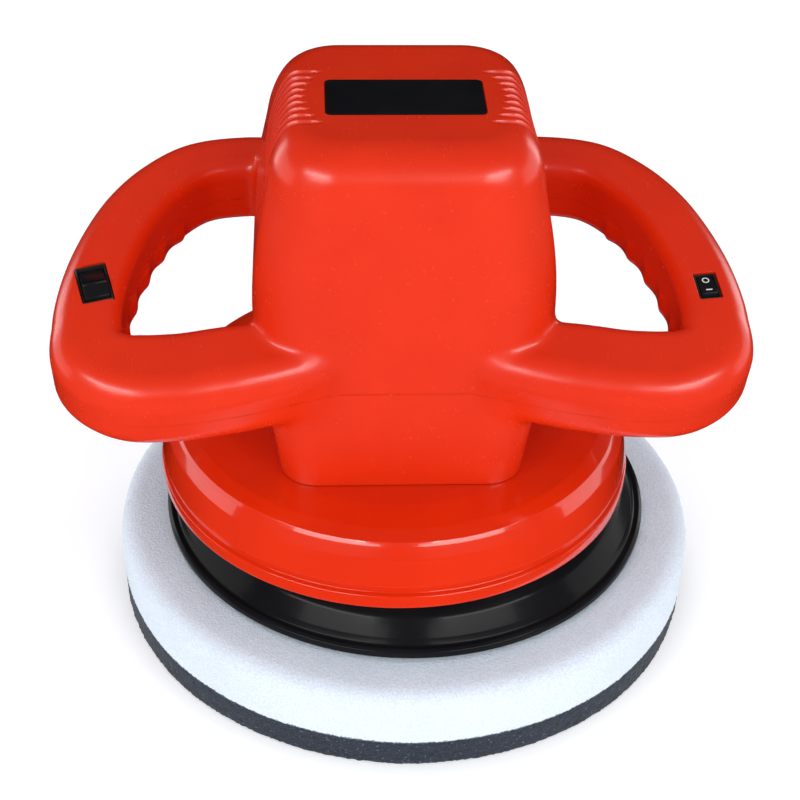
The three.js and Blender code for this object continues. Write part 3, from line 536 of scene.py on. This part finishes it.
class Finish:
    """A node material on a Principled shader, with short calls for the textures that it uses."""

    def __init__(self, name, colour, roughness, metallic=0.0, coat=0.0, coat_roughness=0.1, specular=0.5):
        self.material = bpy.data.materials.new(name)
        self.material.use_nodes = True
        self.material.diffuse_color = (*colour, 1)
        self.tree = self.material.node_tree
        self.shader = self.tree.nodes["Principled BSDF"]
        self.place = self.tree.nodes.new("ShaderNodeTexCoord").outputs["Object"]
        self.set(self.shader, {
            "Base Color": (*colour, 1), "Roughness": roughness, "Metallic": metallic, "Coat Weight": coat,
            "Coat Roughness": coat_roughness, "Specular IOR Level": specular,
        })

    def connect(self, socket, value):
        if isinstance(value, bpy.types.NodeSocket):
            self.tree.links.new(value, socket)
        else:
            socket.default_value = value

    def set(self, node, inputs):
        for name, value in inputs.items():
            self.connect(node.inputs[name], value)
        return node

    def add(self, kind, inputs, **settings):
        node = self.tree.nodes.new("ShaderNode" + kind)
        for name, value in settings.items():
            setattr(node, name, value)
        return self.set(node, inputs)

    def noise(self, size, detail=3.0, roughness=0.5, stretch=(1, 1, 1)):
        """Noise whose features are about size millimetres across."""
        place = self.place
        if stretch != (1, 1, 1):
            place = self.add("Mapping", {"Vector": place, "Scale": stretch}).outputs["Vector"]
        scale = 1 / (size * MM)
        inputs = {"Vector": place, "Scale": scale, "Detail": detail, "Roughness": roughness}
        return self.add("TexNoise", inputs).outputs["Fac"]

    def cells(self, size, feature="F1"):
        inputs = {"Vector": self.place, "Scale": 1 / (size * MM)}
        return self.add("TexVoronoi", inputs, feature=feature).outputs["Distance"]

    def bands(self, size, direction="Z", distortion=0.0):
        inputs = {"Vector": self.place, "Scale": 0.3142 / (size * MM), "Distortion": distortion}
        return self.add("TexWave", inputs, bands_direction=direction).outputs["Fac"]

    def ramp(self, value, low, high, start=0.0, end=1.0):
        """value from start to end, spread from low to high."""
        inputs = {"Value": value, "From Min": start, "From Max": end, "To Min": low, "To Max": high}
        return self.add("MapRange", inputs).outputs["Result"]

    def blend(self, share, first, second):
        """From the first colour or socket, where share is 0, to the second."""
        mix = self.add("Mix", {}, data_type="RGBA")
        for name, kind, value in (("Factor", "VALUE", share), ("A", "RGBA", first), ("B", "RGBA", second)):
            socket = next(s for s in mix.inputs if s.name == name and s.type == kind)
            self.connect(socket, (*value, 1) if isinstance(value, tuple) else value)
        return next(s for s in mix.outputs if s.type == "RGBA")

    def multiply(self, a, b):
        node = self.add("Math", {}, operation="MULTIPLY")
        for socket, value in zip(node.inputs, (a, b)):
            self.connect(socket, value)
        return node.outputs[0]

    def bump(self, height, depth, strength=1.0, normal=None):
        """Relief of the given depth in millimetres."""
        inputs = {"Height": height, "Distance": depth * MM, "Strength": strength}
        if normal is not None:
            inputs["Normal"] = normal
        return self.add("Bump", inputs).outputs["Normal"]

    def rounded_edges(self, radius):
        return self.add("Bevel", {"Radius": radius * MM}, samples=4).outputs["Normal"]

    def use(self, **outputs):
        self.set(self.shader, {name.replace("_", " "): socket for name, socket in outputs.items()})
        return self.material


def moulded_plastic(name, colour, shade, roughness, coat, edge=0.0, peel=0.012, specular=0.35):
    """Moulded plastic: faint flow marks, orange peel, fine scuffs and softly rounded edges."""
    finish = Finish(name, colour, roughness, coat=coat, coat_roughness=0.06, specular=specular)
    flow = finish.noise(38, 4, 0.55)
    mottled = finish.blend(finish.ramp(flow, 0, 1, 0.35, 0.65), shade, colour)
    scuffs = finish.noise(2.2, 6, 0.75, (1, 0.12, 1))
    wear = finish.noise(9, 5, 0.7)
    worn = finish.multiply(finish.ramp(scuffs, 0, 1, 0.56, 0.75), finish.ramp(wear, 0, 1, 0.5, 0.7))
    dulled = finish.ramp(worn, roughness, roughness + 0.05)
    normal = finish.rounded_edges(edge) if edge else None
    normal = finish.bump(finish.noise(1.6, 2, 0.4), peel, 1, normal)
    normal = finish.bump(scuffs, 0.0007, 0.3, normal)
    return finish.use(Base_Color=mottled, Roughness=dulled, Normal=normal)


def satin_plastic(name, colour, shade, grain, depth, roughness):
    """Spark-eroded satin plastic or rubber with a fine pebble grain."""
    finish = Finish(name, colour, roughness)
    pebbles = finish.cells(grain)
    dusty = finish.noise(14, 5, 0.6)
    tone = finish.blend(finish.ramp(dusty, 0, 1, 0.4, 0.7), colour, shade)
    rough = finish.ramp(finish.noise(3, 4, 0.6), roughness - 0.08, roughness + 0.1, 0.3, 0.7)
    return finish.use(Base_Color=tone, Roughness=rough, Normal=finish.bump(pebbles, depth, 0.6))


def metal(name, colour, shade, roughness, grain=0.4, stretch=(1, 1, 14), depth=0.01):
    """Machined or brushed metal, with grain drawn out one way and duller patches."""
    finish = Finish(name, colour, roughness, metallic=1.0)
    brushed = finish.noise(grain, 4, 0.7, stretch)
    patches = finish.noise(6, 4, 0.6)
    tone = finish.blend(finish.ramp(patches, 0, 1, 0.35, 0.7), colour, shade)
    rough = finish.ramp(brushed, roughness - 0.1, roughness + 0.15, 0.3, 0.7)
    return finish.use(Base_Color=tone, Roughness=rough, Normal=finish.bump(brushed, depth, 0.6))


def laminations(name):
    """A stack of half-millimetre electrical steel sheets, with darker joints and a little rust bloom."""
    steel = (0.2, 0.2, 0.21)
    finish = Finish(name, steel, 0.45, metallic=0.9)
    sheets = finish.bands(0.5)
    joint = finish.ramp(sheets, 0, 1, 0.05, 0.3)
    rust = finish.ramp(finish.noise(5, 5, 0.65), 0, 1, 0.55, 0.8)
    bloom = finish.blend(rust, steel, (0.11, 0.06, 0.035))
    tone = finish.blend(joint, (0.03, 0.03, 0.03), bloom)
    return finish.use(Base_Color=tone, Normal=finish.bump(sheets, 0.05, 0.8))


def windings(name):
    """Enamelled copper wire laid turn beside turn, with painted shade in the grooves between turns."""
    finish = Finish(name, (0.45, 0.14, 0.05), 0.3, metallic=0.85, coat=0.5)
    wires = finish.bands(0.6, "DIAGONAL", 1.2)
    # The darker colour is painted shade, deepest between the turns.
    tone = finish.blend(finish.ramp(wires, 0, 1, 0.1, 0.6), (0.12, 0.03, 0.012), (0.55, 0.19, 0.07))
    return finish.use(Base_Color=tone, Normal=finish.bump(wires, 0.25, 0.9))


def casting(name):
    """Sand-cast iron, with paler patches."""
    finish = Finish(name, (0.09, 0.09, 0.095), 0.6, metallic=0.8)
    sand = finish.noise(0.9, 6, 0.7)
    patches = finish.ramp(finish.noise(7, 4, 0.6), 0, 1, 0.4, 0.7)
    tone = finish.blend(patches, (0.07, 0.07, 0.075), (0.16, 0.15, 0.15))
    rough = finish.ramp(sand, 0.5, 0.75)
    return finish.use(Base_Color=tone, Roughness=rough, Normal=finish.bump(sand, 0.12, 0.8))


def circuit_laminate(name):
    """Green solder mask over copper tracks."""
    finish = Finish(name, (0.012, 0.11, 0.045), 0.3, coat=0.4)
    tracks = finish.ramp(finish.cells(3.0, "DISTANCE_TO_EDGE"), 1, 0, 0.08, 0.14)
    tone = finish.blend(tracks, (0.012, 0.11, 0.045), (0.03, 0.2, 0.07))
    return finish.use(Base_Color=tone, Normal=finish.bump(tracks, 0.04, 0.8))


def pressed_carbon(name):
    """Pressed carbon, with glints painted into the colour as paler grains."""
    finish = Finish(name, (0.025, 0.025, 0.028), 0.6)
    grain = finish.noise(0.35, 5, 0.8)
    # The paler grains are painted glints.
    tone = finish.blend(finish.ramp(grain, 0, 1, 0.5, 0.75), (0.02, 0.02, 0.022), (0.11, 0.11, 0.12))
    rough = finish.ramp(grain, 0.45, 0.75)
    return finish.use(Base_Color=tone, Roughness=rough, Normal=finish.bump(grain, 0.03))


def hook_tape(name):
    """Woven tape with rows of tiny hooks."""
    finish = Finish(name, (0.02, 0.02, 0.022), 0.85)
    hooks = finish.cells(1.1)
    tone = finish.blend(finish.ramp(hooks, 0, 1, 0.2, 0.6), (0.05, 0.05, 0.055), (0.008, 0.008, 0.01))
    finish.set(finish.shader, {"Sheen Weight": 0.3})
    return finish.use(Base_Color=tone, Normal=finish.bump(hooks, 0.5, 0.9))


def open_cell_foam(name, wall, pore_shade, fleck, fleck_share, border, border_side):
    """Cut foam: cell walls round pores painted darker as shade, flecks, and a ragged glue line at the
    border.
    """
    finish = Finish(name, wall, 0.92, specular=0.15)
    cells = finish.cells(0.85)
    fine = finish.noise(0.5, 4, 0.7)
    # The pores' darker colour is painted shade in their hollows.
    pore_shade_mask = finish.multiply(finish.ramp(cells, 0, 1, 0.28, 0.62), finish.ramp(fine, 0.3, 1, 0.35, 0.6))
    tone = finish.blend(pore_shade_mask, wall, pore_shade)
    cloud = finish.noise(26, 4, 0.6)
    tone = finish.blend(finish.ramp(cloud, 0, 0.35, 0.4, 0.7), tone, tuple(0.8 * c for c in wall))
    flecks = finish.ramp(finish.noise(1.1, 2, 0.5), 0, 1, 1 - fleck_share, 1.02 - fleck_share)
    tone = finish.blend(flecks, tone, fleck)
    height = finish.add("SeparateXYZ", {"Vector": finish.place}).outputs["Z"]
    near = finish.ramp(height, 1, 0, border * MM, (border + 2.2 * border_side) * MM)
    ragged = finish.ramp(finish.multiply(near, finish.noise(1.3, 5, 0.75)), 0, 1, 0.33, 0.45)
    tone = finish.blend(ragged, tone, fleck)
    normal = finish.bump(cells, 0.35, 0.55, finish.bump(fine, 0.12, 0.6))
    finish.set(finish.shader, {"Sheen Weight": 0.15, "Sheen Roughness": 0.6})
    return finish.use(Base_Color=tone, Normal=normal)


RED = (0.70, 0.024, 0.0015)
RED_SHADE = (0.65, 0.020, 0.0012)
FINISHES = {
    "red_plastic": moulded_plastic("red_plastic", RED, RED_SHADE, 0.27, 0.1, edge=0.5, specular=0.4),
    "black_gloss_plastic": moulded_plastic(
        "black_gloss_plastic", (0.0065, 0.0065, 0.0075), (0.010, 0.010, 0.011), 0.2, 0.03, edge=0.3,
        peel=0.005, specular=0.08),
    "black_plastic": satin_plastic(
        "black_plastic", (0.012, 0.012, 0.013), (0.03, 0.03, 0.032), 0.5, 0.05, 0.45),
    "black_rubber": satin_plastic(
        "black_rubber", (0.014, 0.014, 0.014), (0.035, 0.034, 0.033), 0.35, 0.04, 0.7),
    "bright_steel": metal("bright_steel", (0.62, 0.62, 0.63), (0.42, 0.41, 0.4), 0.28),
    "lamination_steel": laminations("lamination_steel"),
    "cast_iron": casting("cast_iron"),
    "aluminium": metal("aluminium", (0.72, 0.73, 0.74), (0.55, 0.55, 0.56), 0.42, 0.8, (1, 1, 3), 0.03),
    "copper": windings("copper"),
    "brass": metal("brass", (0.72, 0.5, 0.2), (0.5, 0.33, 0.12), 0.3),
    "carbon": pressed_carbon("carbon"),
    "board": circuit_laminate("board"),
    "hook_fabric": hook_tape("hook_fabric"),
    # The second colour of each foam is the painted shade of its pores.
    "white_foam": open_cell_foam(
        "white_foam", (0.73, 0.80, 0.89), (0.61, 0.68, 0.76), (0.10, 0.12, 0.16), 0.18, GREY_FOAM_TOP, 1),
    "grey_foam": open_cell_foam(
        "grey_foam", (0.017, 0.026, 0.045), (0.007, 0.010, 0.018), (0.08, 0.10, 0.14), 0.34,
        GREY_FOAM_TOP, -1),
}


def white_print():
    """Pad-printed white marks, a little uneven."""
    white = (0.85, 0.85, 0.83)
    finish = Finish("white_print", white, 0.5)
    thin = finish.ramp(finish.noise(0.4, 4, 0.7), 0, 1, 0.45, 0.7)
    return finish.use(Base_Color=finish.blend(thin, white, (0.6, 0.6, 0.58)))


def studio_floor():
    """A board that glows a little, so that it comes out white."""
    white = (0.9, 0.9, 0.91)
    finish = Finish("studio_floor", white, 0.7, specular=0.2)
    finish.set(finish.shader, {"Emission Color": (1, 1, 1, 1), "Emission Strength": FLOOR_GLOW})
    patches = finish.ramp(finish.noise(120, 3, 0.5), 0, 1, 0.4, 0.6)
    tone = finish.blend(patches, white, (0.88, 0.88, 0.89))
    return finish.use(Base_Color=tone, Normal=finish.bump(finish.noise(1.5, 3, 0.6), 0.02, 0.3))


def add_floor():
    r, thick = FLOOR_RADIUS, 5
    disc = turned([(0, 0), (r, 0), (r, -thick), (0, -thick)], sides=96)
    floor = new_object("floor", to_mesh("floor", *disc))
    floor.data.materials.append(studio_floor())
    floor.visible_glossy = False


# ---- Placing pieces on the frame ----


def add_piece(name, shape, slot, body, *nodes, sharp_angle=32):
    """A piece, from (vertices, faces) or an object, that rides on a body and stands for nodes."""
    if isinstance(shape, tuple):
        shape = new_object(name, to_mesh(name, *shape, sharp_angle))
    shape.name = shape.data.name = name
    shape.data.materials.clear()
    shape.data.materials.append(FINISHES[slot])
    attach(shape, body)
    if nodes:
        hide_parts(*nodes)
    return shape


def finish_cad_nodes():
    """Every CAD node takes the procedural material of its slot in the record."""
    for subpart in frame["record"]["subparts"]:
        data = frame["nodes"][subpart["node"]].data
        data.materials.clear()
        data.materials.append(FINISHES[subpart["material_slot"]])


# ---- Housing ----

PARTING = Matrix.Translation((0, HANDLE_PLANE_Y, HANDLE_PLANE_Z)) @ Matrix.Rotation(HANDLE_SLOPE, 4, "X")
TO_REAR = Matrix.Rotation(-math.pi / 2, 4, "X")  # from upright to pointing to the rear


def handle_middle(y):
    """The height of the handles' middle plane."""
    return HANDLE_PLANE_Z + math.tan(HANDLE_SLOPE) * (y - HANDLE_PLANE_Y)


def switch_place(switch):
    """The middle of the switch, on the grip's upper side, turned as the switch is."""
    up = Vector((0, -math.sin(HANDLE_SLOPE), math.cos(HANDLE_SLOPE)))
    middle = Vector((switch["side"] * SWITCH_X, switch["y"], handle_middle(switch["y"])))
    level = Matrix.Rotation(HANDLE_SLOPE, 4, "X") @ Matrix.Rotation(math.radians(switch["turn"]), 4, "Z")
    return Matrix.Translation(middle + up * HANDLE_HALF_HEIGHT) @ level


def switch_outline(switch, grow, corner):
    return rounded_rectangle(switch["width"] / 2 + grow, switch["length"] / 2 + grow, corner, steps=4)


def vent_rows():
    """The y of each slot, and the x of its inner end."""
    middle = (VENTS["count"] - 1) / 2
    for i in range(VENTS["count"]):
        curve = VENTS["curve"] * ((i - middle) / middle) ** 2
        yield VENTS["middle"] + (i - middle) * VENTS["pitch"], VENTS["inner_end"] - curve


def vent_slots():
    slots = []
    for y, inner in vent_rows():
        half = (VENTS["outer_end"] - inner) / 2
        outline = rounded_rectangle(half, VENTS["width"] / 2, VENTS["width"] / 2 - 0.01, y)
        slot = prism(outline, VENTS["bottom"], TOP + 5)
        for side in (-1, 1):
            slots.append(moved(slot, Matrix.Translation((side * (inner + half), 0, 0))))
    return joined(*slots)


def shoulder_curve(y, inner, steps=20):
    """Points (x, z) down the crown's right shoulder at y, from the inner end, and the normals there."""
    middle_x, middle_z = SHOULDER_MIDDLE
    turn = np.linspace(math.atan2(inner - middle_x, TOP - middle_z), math.radians(72), steps)
    low, high = np.zeros(steps), np.full(steps, 60.0)
    for _ in range(30):
        reach = (low + high) / 2
        x, z = middle_x + reach * np.sin(turn), middle_z + reach * np.cos(turn)
        outside = housing_distance((x, np.full(steps, y), z)) > 0
        low, high = np.where(outside, low, reach), np.where(outside, reach, high)
    tangent = np.stack([np.gradient(x), np.gradient(z)], axis=1)
    tangent /= np.linalg.norm(tangent, axis=1)[:, None]
    return np.stack([x, z], axis=1), np.stack([-tangent[:, 1], tangent[:, 0]], axis=1)


def vent_flares():
    """The slots' sloping sides, which fade in at the inner end and leave a narrow crest on each rib."""
    rise = 0.5
    slope = (VENTS["flare"] - VENTS["width"]) / 2 / VENTS["flare_depth"]
    bottom = max(0.05, VENTS["width"] / 2 - 0.1)
    flares = []
    for y, inner in vent_rows():
        rings = []
        for k, (point, normal) in enumerate(zip(*shoulder_curve(y, inner - 2))):
            depth = VENTS["flare_depth"] * min(1, k / 2)
            top = bottom + slope * (depth + rise)
            corners = [(-depth, -bottom), (-depth, bottom), (rise, top), (rise, -top)]
            rings.append([
                (point[0] + normal[0] * up, y + across, point[1] + normal[1] * up)
                for up, across in corners
            ])
        points, faces = stacked(rings)
        flares += [(points, faces), ([(-x, across, z) for x, across, z in points], faces)]
    return joined(*flares)


def rods_at_housing_screws(size):
    return joined(*(
        rod(size["radius"], handle_middle(y) + size["bottom"], handle_middle(y) + size["top"], x, y)
        for x, y in HOUSING_SCREWS
    ))


def housing_shell():
    """Both halves in one: a shell open at the neck, with screw bosses, their holes and the gland's."""
    low, high = (-134, -78, TOWER_CLOSED_BELOW - 3), (134, 62, TOP + 4)
    outside = level_surface(housing_distance, low, high, SKIN_PITCH, 0)
    shell = new_object("housing", to_mesh("housing", *outside))
    hollow = cutter(level_surface(housing_distance, low, high, HOLLOW_PITCH, -WALL))
    carve(hollow, cutter(rods_at_housing_screws(HOUSING_BOSS)))
    carve(shell, hollow)
    carve(shell, cutter(block(-80, 80, -80, 80, 60, NECK_BOTTOM)))
    carve(shell, cutter(rods_at_housing_screws(HEAD_HOLE)))
    gland_place = Matrix.Translation((0, GLAND["y"] - 15, GLAND["z"])) @ TO_REAR
    carve(shell, cutter(moved(rod(GLAND["hole"], 0, 30), gland_place)))
    return shell


def half_space(side):
    """All over (1) or under (-1) the parting plane, from half the gap away."""
    size = 200
    z0, z1 = sorted((side * GAP / 2, side * size))
    return cutter(moved(block(-size, size, -size, size, z0, z1), PARTING))


def label_outline(grow):
    half, deep = LABEL["width"] / 2 + grow, LABEL["length"] / 2 + grow
    return rounded_rectangle(half, deep, LABEL["corner"] + grow, LABEL["y"])


def add_housing():
    lower = housing_shell()
    upper = new_object("upper", lower.data.copy())
    carve(lower, half_space(1))
    carve(upper, half_space(-1))
    carve(upper, cutter(vent_flares()))
    carve(upper, cutter(vent_slots()))
    carve(upper, cutter(prism(label_outline(GAP), TOP - LABEL["recess"], TOP + 3)))
    for switch in SWITCHES.values():
        opening = prism(switch_outline(switch, GAP, 0.8), -SWITCH_DEPTH - 1, 9)
        carve(upper, cutter(moved(opening, switch_place(switch))))
    for name, item in (("upper_housing_skin", upper), ("lower_housing_skin", lower)):
        finished(item.data, 38)
        add_piece(name, item, "red_plastic", "housing", name.replace("_skin", ""))


def add_skirt():
    """The bell's outline runs down the outside to the groove and lip, then up the inside."""
    r, top, inside = SKIRT_RADIUS, SKIRT_TOP, SKIRT_TOP - SKIRT_WALL
    profile = filleted([
        (26, top, 0), (72, top, 12), (84, 89.4, 4), (89.4, 87.3, 0.4), (90.4, 85.9, 0.4), (93, 81.5, 5),
        (r - 0.6, 70.3, 0.5), (r - 2, 69.6, 0.5), (r - 2, 66.6, 0.5), (r, 66, 0.6),
        (r, SKIRT_BOTTOM + 0.8, 0.6), (r - 0.6, SKIRT_BOTTOM, 0.4), (r - SKIRT_WALL, SKIRT_BOTTOM, 0.4),
        (r - SKIRT_WALL - 1.9, 70, 1), (90.2, 80.5, 3), (87.4, 84.4, 2), (83, 86.5, 3), (72, inside, 2),
        (26, inside, 0),
    ], 0.5)
    skirt = new_object("skirt", to_mesh("skirt", *turned(profile)))
    holes = [rod(2.1, 80, 100, x, y) for x, y in BASE_SCREWS]
    carve(skirt, cutter(joined(*holes)))
    finished(skirt.data, 38)
    bell = add_piece("base_skirt_bell", skirt, "red_plastic", "housing", "base_skirt")
    bell.data.materials[0] = moulded_plastic(
        "red_gloss_plastic", RED, RED_SHADE, 0.2, 1.0, edge=0.4, peel=0.006, specular=0.28)


def add_label():
    floor = TOP - LABEL["recess"] + GAP
    top = TOP - LABEL["recess"] + LABEL["thick"]
    rings = [(0, floor), (0, top - 0.3), (-0.1, top - 0.08), (-0.35, top)]
    outlines = [[(x, y, z) for x, y in label_outline(grow)] for grow, z in rings]
    add_piece("label_plate_face", stacked(outlines), "black_gloss_plastic", "housing", "label_plate")


def add_gland():
    bore, flange, y = GLAND["bore"], GLAND["flange"], GLAND["y"]
    neck = GLAND["hole"] - GAP
    inside, outside = y - WALL - GAP, y + GAP
    profile = filleted([
        (bore, inside - 3, 0.4), (flange, inside - 3), (flange, inside), (neck, inside, 0.2),
        (neck, outside, 0.2), (flange, outside, 0.3), (flange, outside + 1.5, 0.8),
        (neck, outside + 7, 1.2), (bore, outside + 7, 0.7),
    ], 0.5)
    gland = moved(turned(profile, sides=72), Matrix.Translation((0, 0, GLAND["z"])) @ TO_REAR)
    add_piece("cable_gland_rubber", gland, "black_rubber", "housing", "cable_gland")


# ---- Switches ----


def rocker_place(switch):
    """From the rocker's own frame, with the pivot at its origin, to the housing."""
    tilt = Matrix.Rotation(math.radians(-switch["tilt"]), 4, "X")
    return switch_place(switch) @ (Matrix.Translation((0, 0, -PIVOT_DEPTH)) @ tilt)


def rocker_profile(switch):
    """(length, height) points of a rocker about its pivot: arcs at the ends, a ridge or a dip between."""
    reach, tip = switch["reach"], math.radians(switch["tip"])
    right = [(reach * math.cos(a), reach * math.sin(a)) for a in np.linspace(math.radians(-25), tip, 9)]
    crown = switch["ridge"] + PIVOT_DEPTH
    middle = [(0, crown)]
    if switch["ridge"] > 0:
        ridge = ((0.55, -0.1), (0.4, 0.4), (-0.4, 0.4), (-0.55, -0.15))
        middle = [(y - RIDGE_FORWARD, crown + z) for y, z in ridge]
    return right + middle + [(-y, z) for y, z in reversed(right)]


def rocker_mesh(name, switch):
    """The rocker's profile drawn out across its width, with rounded edges."""
    half = switch["rocker"] / 2
    outline = rocker_profile(switch)
    n = len(outline)
    shape = bmesh.new()
    rings = [[shape.verts.new(Vector((x, y, z)) * MM) for y, z in outline] for x in (-half, half)]
    for i in range(n):
        j = (i + 1) % n
        shape.faces.new((rings[0][i], rings[1][i], rings[1][j], rings[0][j]))
    shape.faces.new(rings[1][::-1])
    shape.faces.new(rings[0])
    bmesh.ops.recalc_face_normals(shape, faces=shape.faces)
    sharp = [e for e in shape.edges if e.calc_face_angle(0) > math.radians(25)]
    bmesh.ops.bevel(shape, geom=sharp, offset=0.45 * MM, segments=3, affect="EDGES", profile=0.5)
    bmesh.ops.transform(shape, matrix=in_metres(rocker_place(switch)), verts=shape.verts)
    mesh = bpy.data.meshes.new(name)
    shape.to_mesh(mesh)
    shape.free()
    return finished(mesh, 40)


def add_switches():
    for name, switch in SWITCHES.items():
        cap = new_object(name, rocker_mesh(name, switch))
        add_piece(f"{name}_rocker_cap", cap, "black_gloss_plastic", f"{name}_rocker", f"{name}_rocker")
        add_switch_frame(name, switch)


def add_switch_frame(name, switch):
    """The switch's body, with a chamfered frame round the rocker."""
    rings = [(0, -SWITCH_DEPTH), (0, -0.9), (-0.3, -0.6)]
    outer = stacked([[(x, y, z) for x, y in switch_outline(switch, grow, 0.6)] for grow, z in rings])
    body = new_object("frame", to_mesh("frame", *outer))
    pocket = rounded_rectangle(switch["rocker"] / 2 + GAP, switch["reach"] + GAP, 0.5, steps=4)
    carve(body, cutter(prism(pocket, -9.5, 2)))
    body.data.transform(in_metres(switch_place(switch)))
    finished(body.data, 30)
    add_piece(f"{name}_switch_frame", body, "black_plastic", "housing", f"{name}_switch_body")


def add_power_marks():
    """The usual on and off signs, printed on the two ends of the power rocker."""
    switch = SWITCHES["power"]
    tip, crown = math.radians(switch["tip"]), switch["ridge"] + PIVOT_DEPTH
    slope = math.atan2(switch["reach"] * math.sin(tip) - crown, switch["reach"] * math.cos(tip))
    middle, thick = 2.7, 0.06
    bar = prism(rounded_rectangle(1.2, 0.28, 0.12, steps=3), -thick, thick)
    ring = turned([(1.0, -thick), (1.4, -thick), (1.4, thick), (1.0, thick)], sides=40)
    for name, side, mark in (("on", -1, bar), ("off", 1, ring)):
        point = (0, side * middle, crown + middle * math.tan(slope))
        face = Matrix.Translation(point) @ Matrix.Rotation(side * slope, 4, "X")
        mark = moved(mark, rocker_place(switch) @ face)
        piece = add_piece(f"power_mark_{name}", mark, "black_gloss_plastic", "power_rocker")
        piece.data.materials[0] = white_print()


# ---- Screws ----


def add_screw(node, x, y, seat, end, size):
    """A pan-head screw that points up, with its head under the seat and a cross recess in it."""
    head, head_height, shank = (size[key] for key in ("head", "head_height", "shank"))
    z = seat - head_height
    profile = [
        (0, z), (head * 0.55, z + 0.05), (head * 0.85, z + 0.35), (head, z + 0.95),
        (head, z + head_height), (shank, z + head_height),
    ]
    pitch, depth = 1.2, 0.28
    for i in range(int((end - 3 - z - head_height) / pitch)):
        base = z + head_height + 1 + i * pitch
        profile += [(shank - depth, base), (shank, base + pitch / 2)]
    profile += [(shank - depth, end - 1.5), (0.3, end), (0, end)]
    item = new_object("screw", to_mesh("screw", *turned(profile, x, y, 28)))
    long, wide, deep = head * 0.55, 0.5, 1.3
    for a, b in ((long, wide), (wide, long)):
        carve(item, cutter(block(x - a, x + a, y - b, y + b, z - 1, z + deep)))
    finished(item.data)
    add_piece(f"{node}_cross", item, "bright_steel", "housing", node)


def add_screws():
    for i, (x, y) in enumerate(HOUSING_SCREWS, 1):
        middle = handle_middle(y)
        seat = middle - HANDLE_HALF_HEIGHT + HOUSING_SCREW["seat"] - GAP
        add_screw(f"housing_screw_{i}", x, y, seat, middle + HOUSING_SCREW["end"], HOUSING_SCREW)
    for i, (x, y) in enumerate(BASE_SCREWS, 1):
        seat = SKIRT_TOP - SKIRT_WALL - GAP
        add_screw(f"base_screw_{i}", x, y, seat, BASE_SCREW["end"], BASE_SCREW)


# ---- The pad ----


def add_backing_plate():
    """The black dome with its rolled lip, and the hook tape under it."""
    r, z = PLATE_RADIUS, PLATE_BOTTOM
    profile = filleted([
        (60, z), (r - 1, z, 0.8), (r, z + 1, 0.8), (r, z + 3.4, 0.9), (r - 1.4, z + 4.4, 0.8),
        (r - 3.4, z + 4, 1), (r - 5, z + 6.5, 3), (r - 10, z + 13, 7), (r - 17, z + 17.4, 6),
        (70, z + 20, 8), (30, z + 22, 8), (18.6, z + 22), (18.6, z + 18.6), (30, z + 18.6, 4),
        (68, z + 16.6, 6), (r - 20, z + 13, 5), (r - 15, z + 7, 3), (r - 14, z + 3.2, 1),
        (60, z + 3.2),
    ], 0.4)
    plate = new_object("plate", to_mesh("plate", *turned(profile, ORBIT)))
    for x, y in HUB_SCREWS:
        carve(plate, cutter(rod(2, 50, 62, x, y)))
    finished(plate.data, 38)
    add_piece("backing_plate_dome", plate, "black_gloss_plastic", "pad", "backing_plate")
    r, z, top = HOOK_DISC["radius"], HOOK_DISC["bottom"], HOOK_DISC["top"]
    disc = [(0, z), (r - 0.4, z), (r, z + 0.2), (r, top - 0.1), (r - 0.4, top), (0, top)]
    add_piece("hook_disc_tape", turned(disc, ORBIT), "hook_fabric", "pad", "hook_disc")


def foam_profile(corners):
    """The outline with points along its sides, close together on its curved outside."""
    outline = np.array(filleted(corners, 0, 9))
    points = []
    for a, b in zip(outline, np.roll(outline, -1, axis=0)):
        fine = min(a[0], b[0]) >= FOAM_POINTS["fine_from"]
        spacing = FOAM_POINTS["spacing"] * (1 if fine else 6)
        steps = max(1, int(np.linalg.norm(b - a) / spacing))
        points += [tuple(a + (b - a) * i / steps) for i in range(steps)]
    return points


def add_foam(name, node, corners, roughness, seed):
    """A cut foam disc whose surface is uneven by a few tenths of a millimetre."""
    points, faces = turned(foam_profile(corners), ORBIT, sides=FOAM_POINTS["sides"])
    uneven = []
    for x, y, z in points:
        radius = math.hypot(x - ORBIT, y)
        p = Vector((x + seed, y, z))
        grain = noise.noise(p * 0.9) + 0.5 * noise.noise(p * 1.9)
        swell = noise.noise(p * 0.035)
        fade = min(1, max(0, (radius - 40) / 60))
        out = (roughness * (grain - 0.6) + 0.35 * (swell - 0.6)) * fade
        grow = 1 + out / max(radius, 1)
        up = 0.5 * out if z > 30 else 0
        uneven.append((ORBIT + (x - ORBIT) * grow, y * grow, z + up))
    piece = add_piece(name, (uneven, faces), node, "pad", f"{node}_pad", sharp_angle=70)


def add_foams():
    r, z0, z1 = PAD_RADIUS, GREY_FOAM_TOP + 0.05, WHITE_FOAM_TOP
    white = [(0, z0), (r, z0, 0.3), (r, z1, 8.5), (0, z1)]
    add_foam("white_foam_cushion", "white_foam", white, 0.28, 0)
    r = PAD_RADIUS - 0.3
    grey = [(0, 0), (r, 0, 2.2), (r, GREY_FOAM_TOP, 0.3), (0, GREY_FOAM_TOP)]
    add_foam("grey_foam_face", "grey_foam", grey, 0.45, 70)


# ---- Building the scene ----

add_camera()
add_lights()
add_floor()
finish_cad_nodes()
add_housing()
add_skirt()
add_label()
add_gland()
add_switches()
add_power_marks()
add_screws()
add_backing_plate()
add_foams()
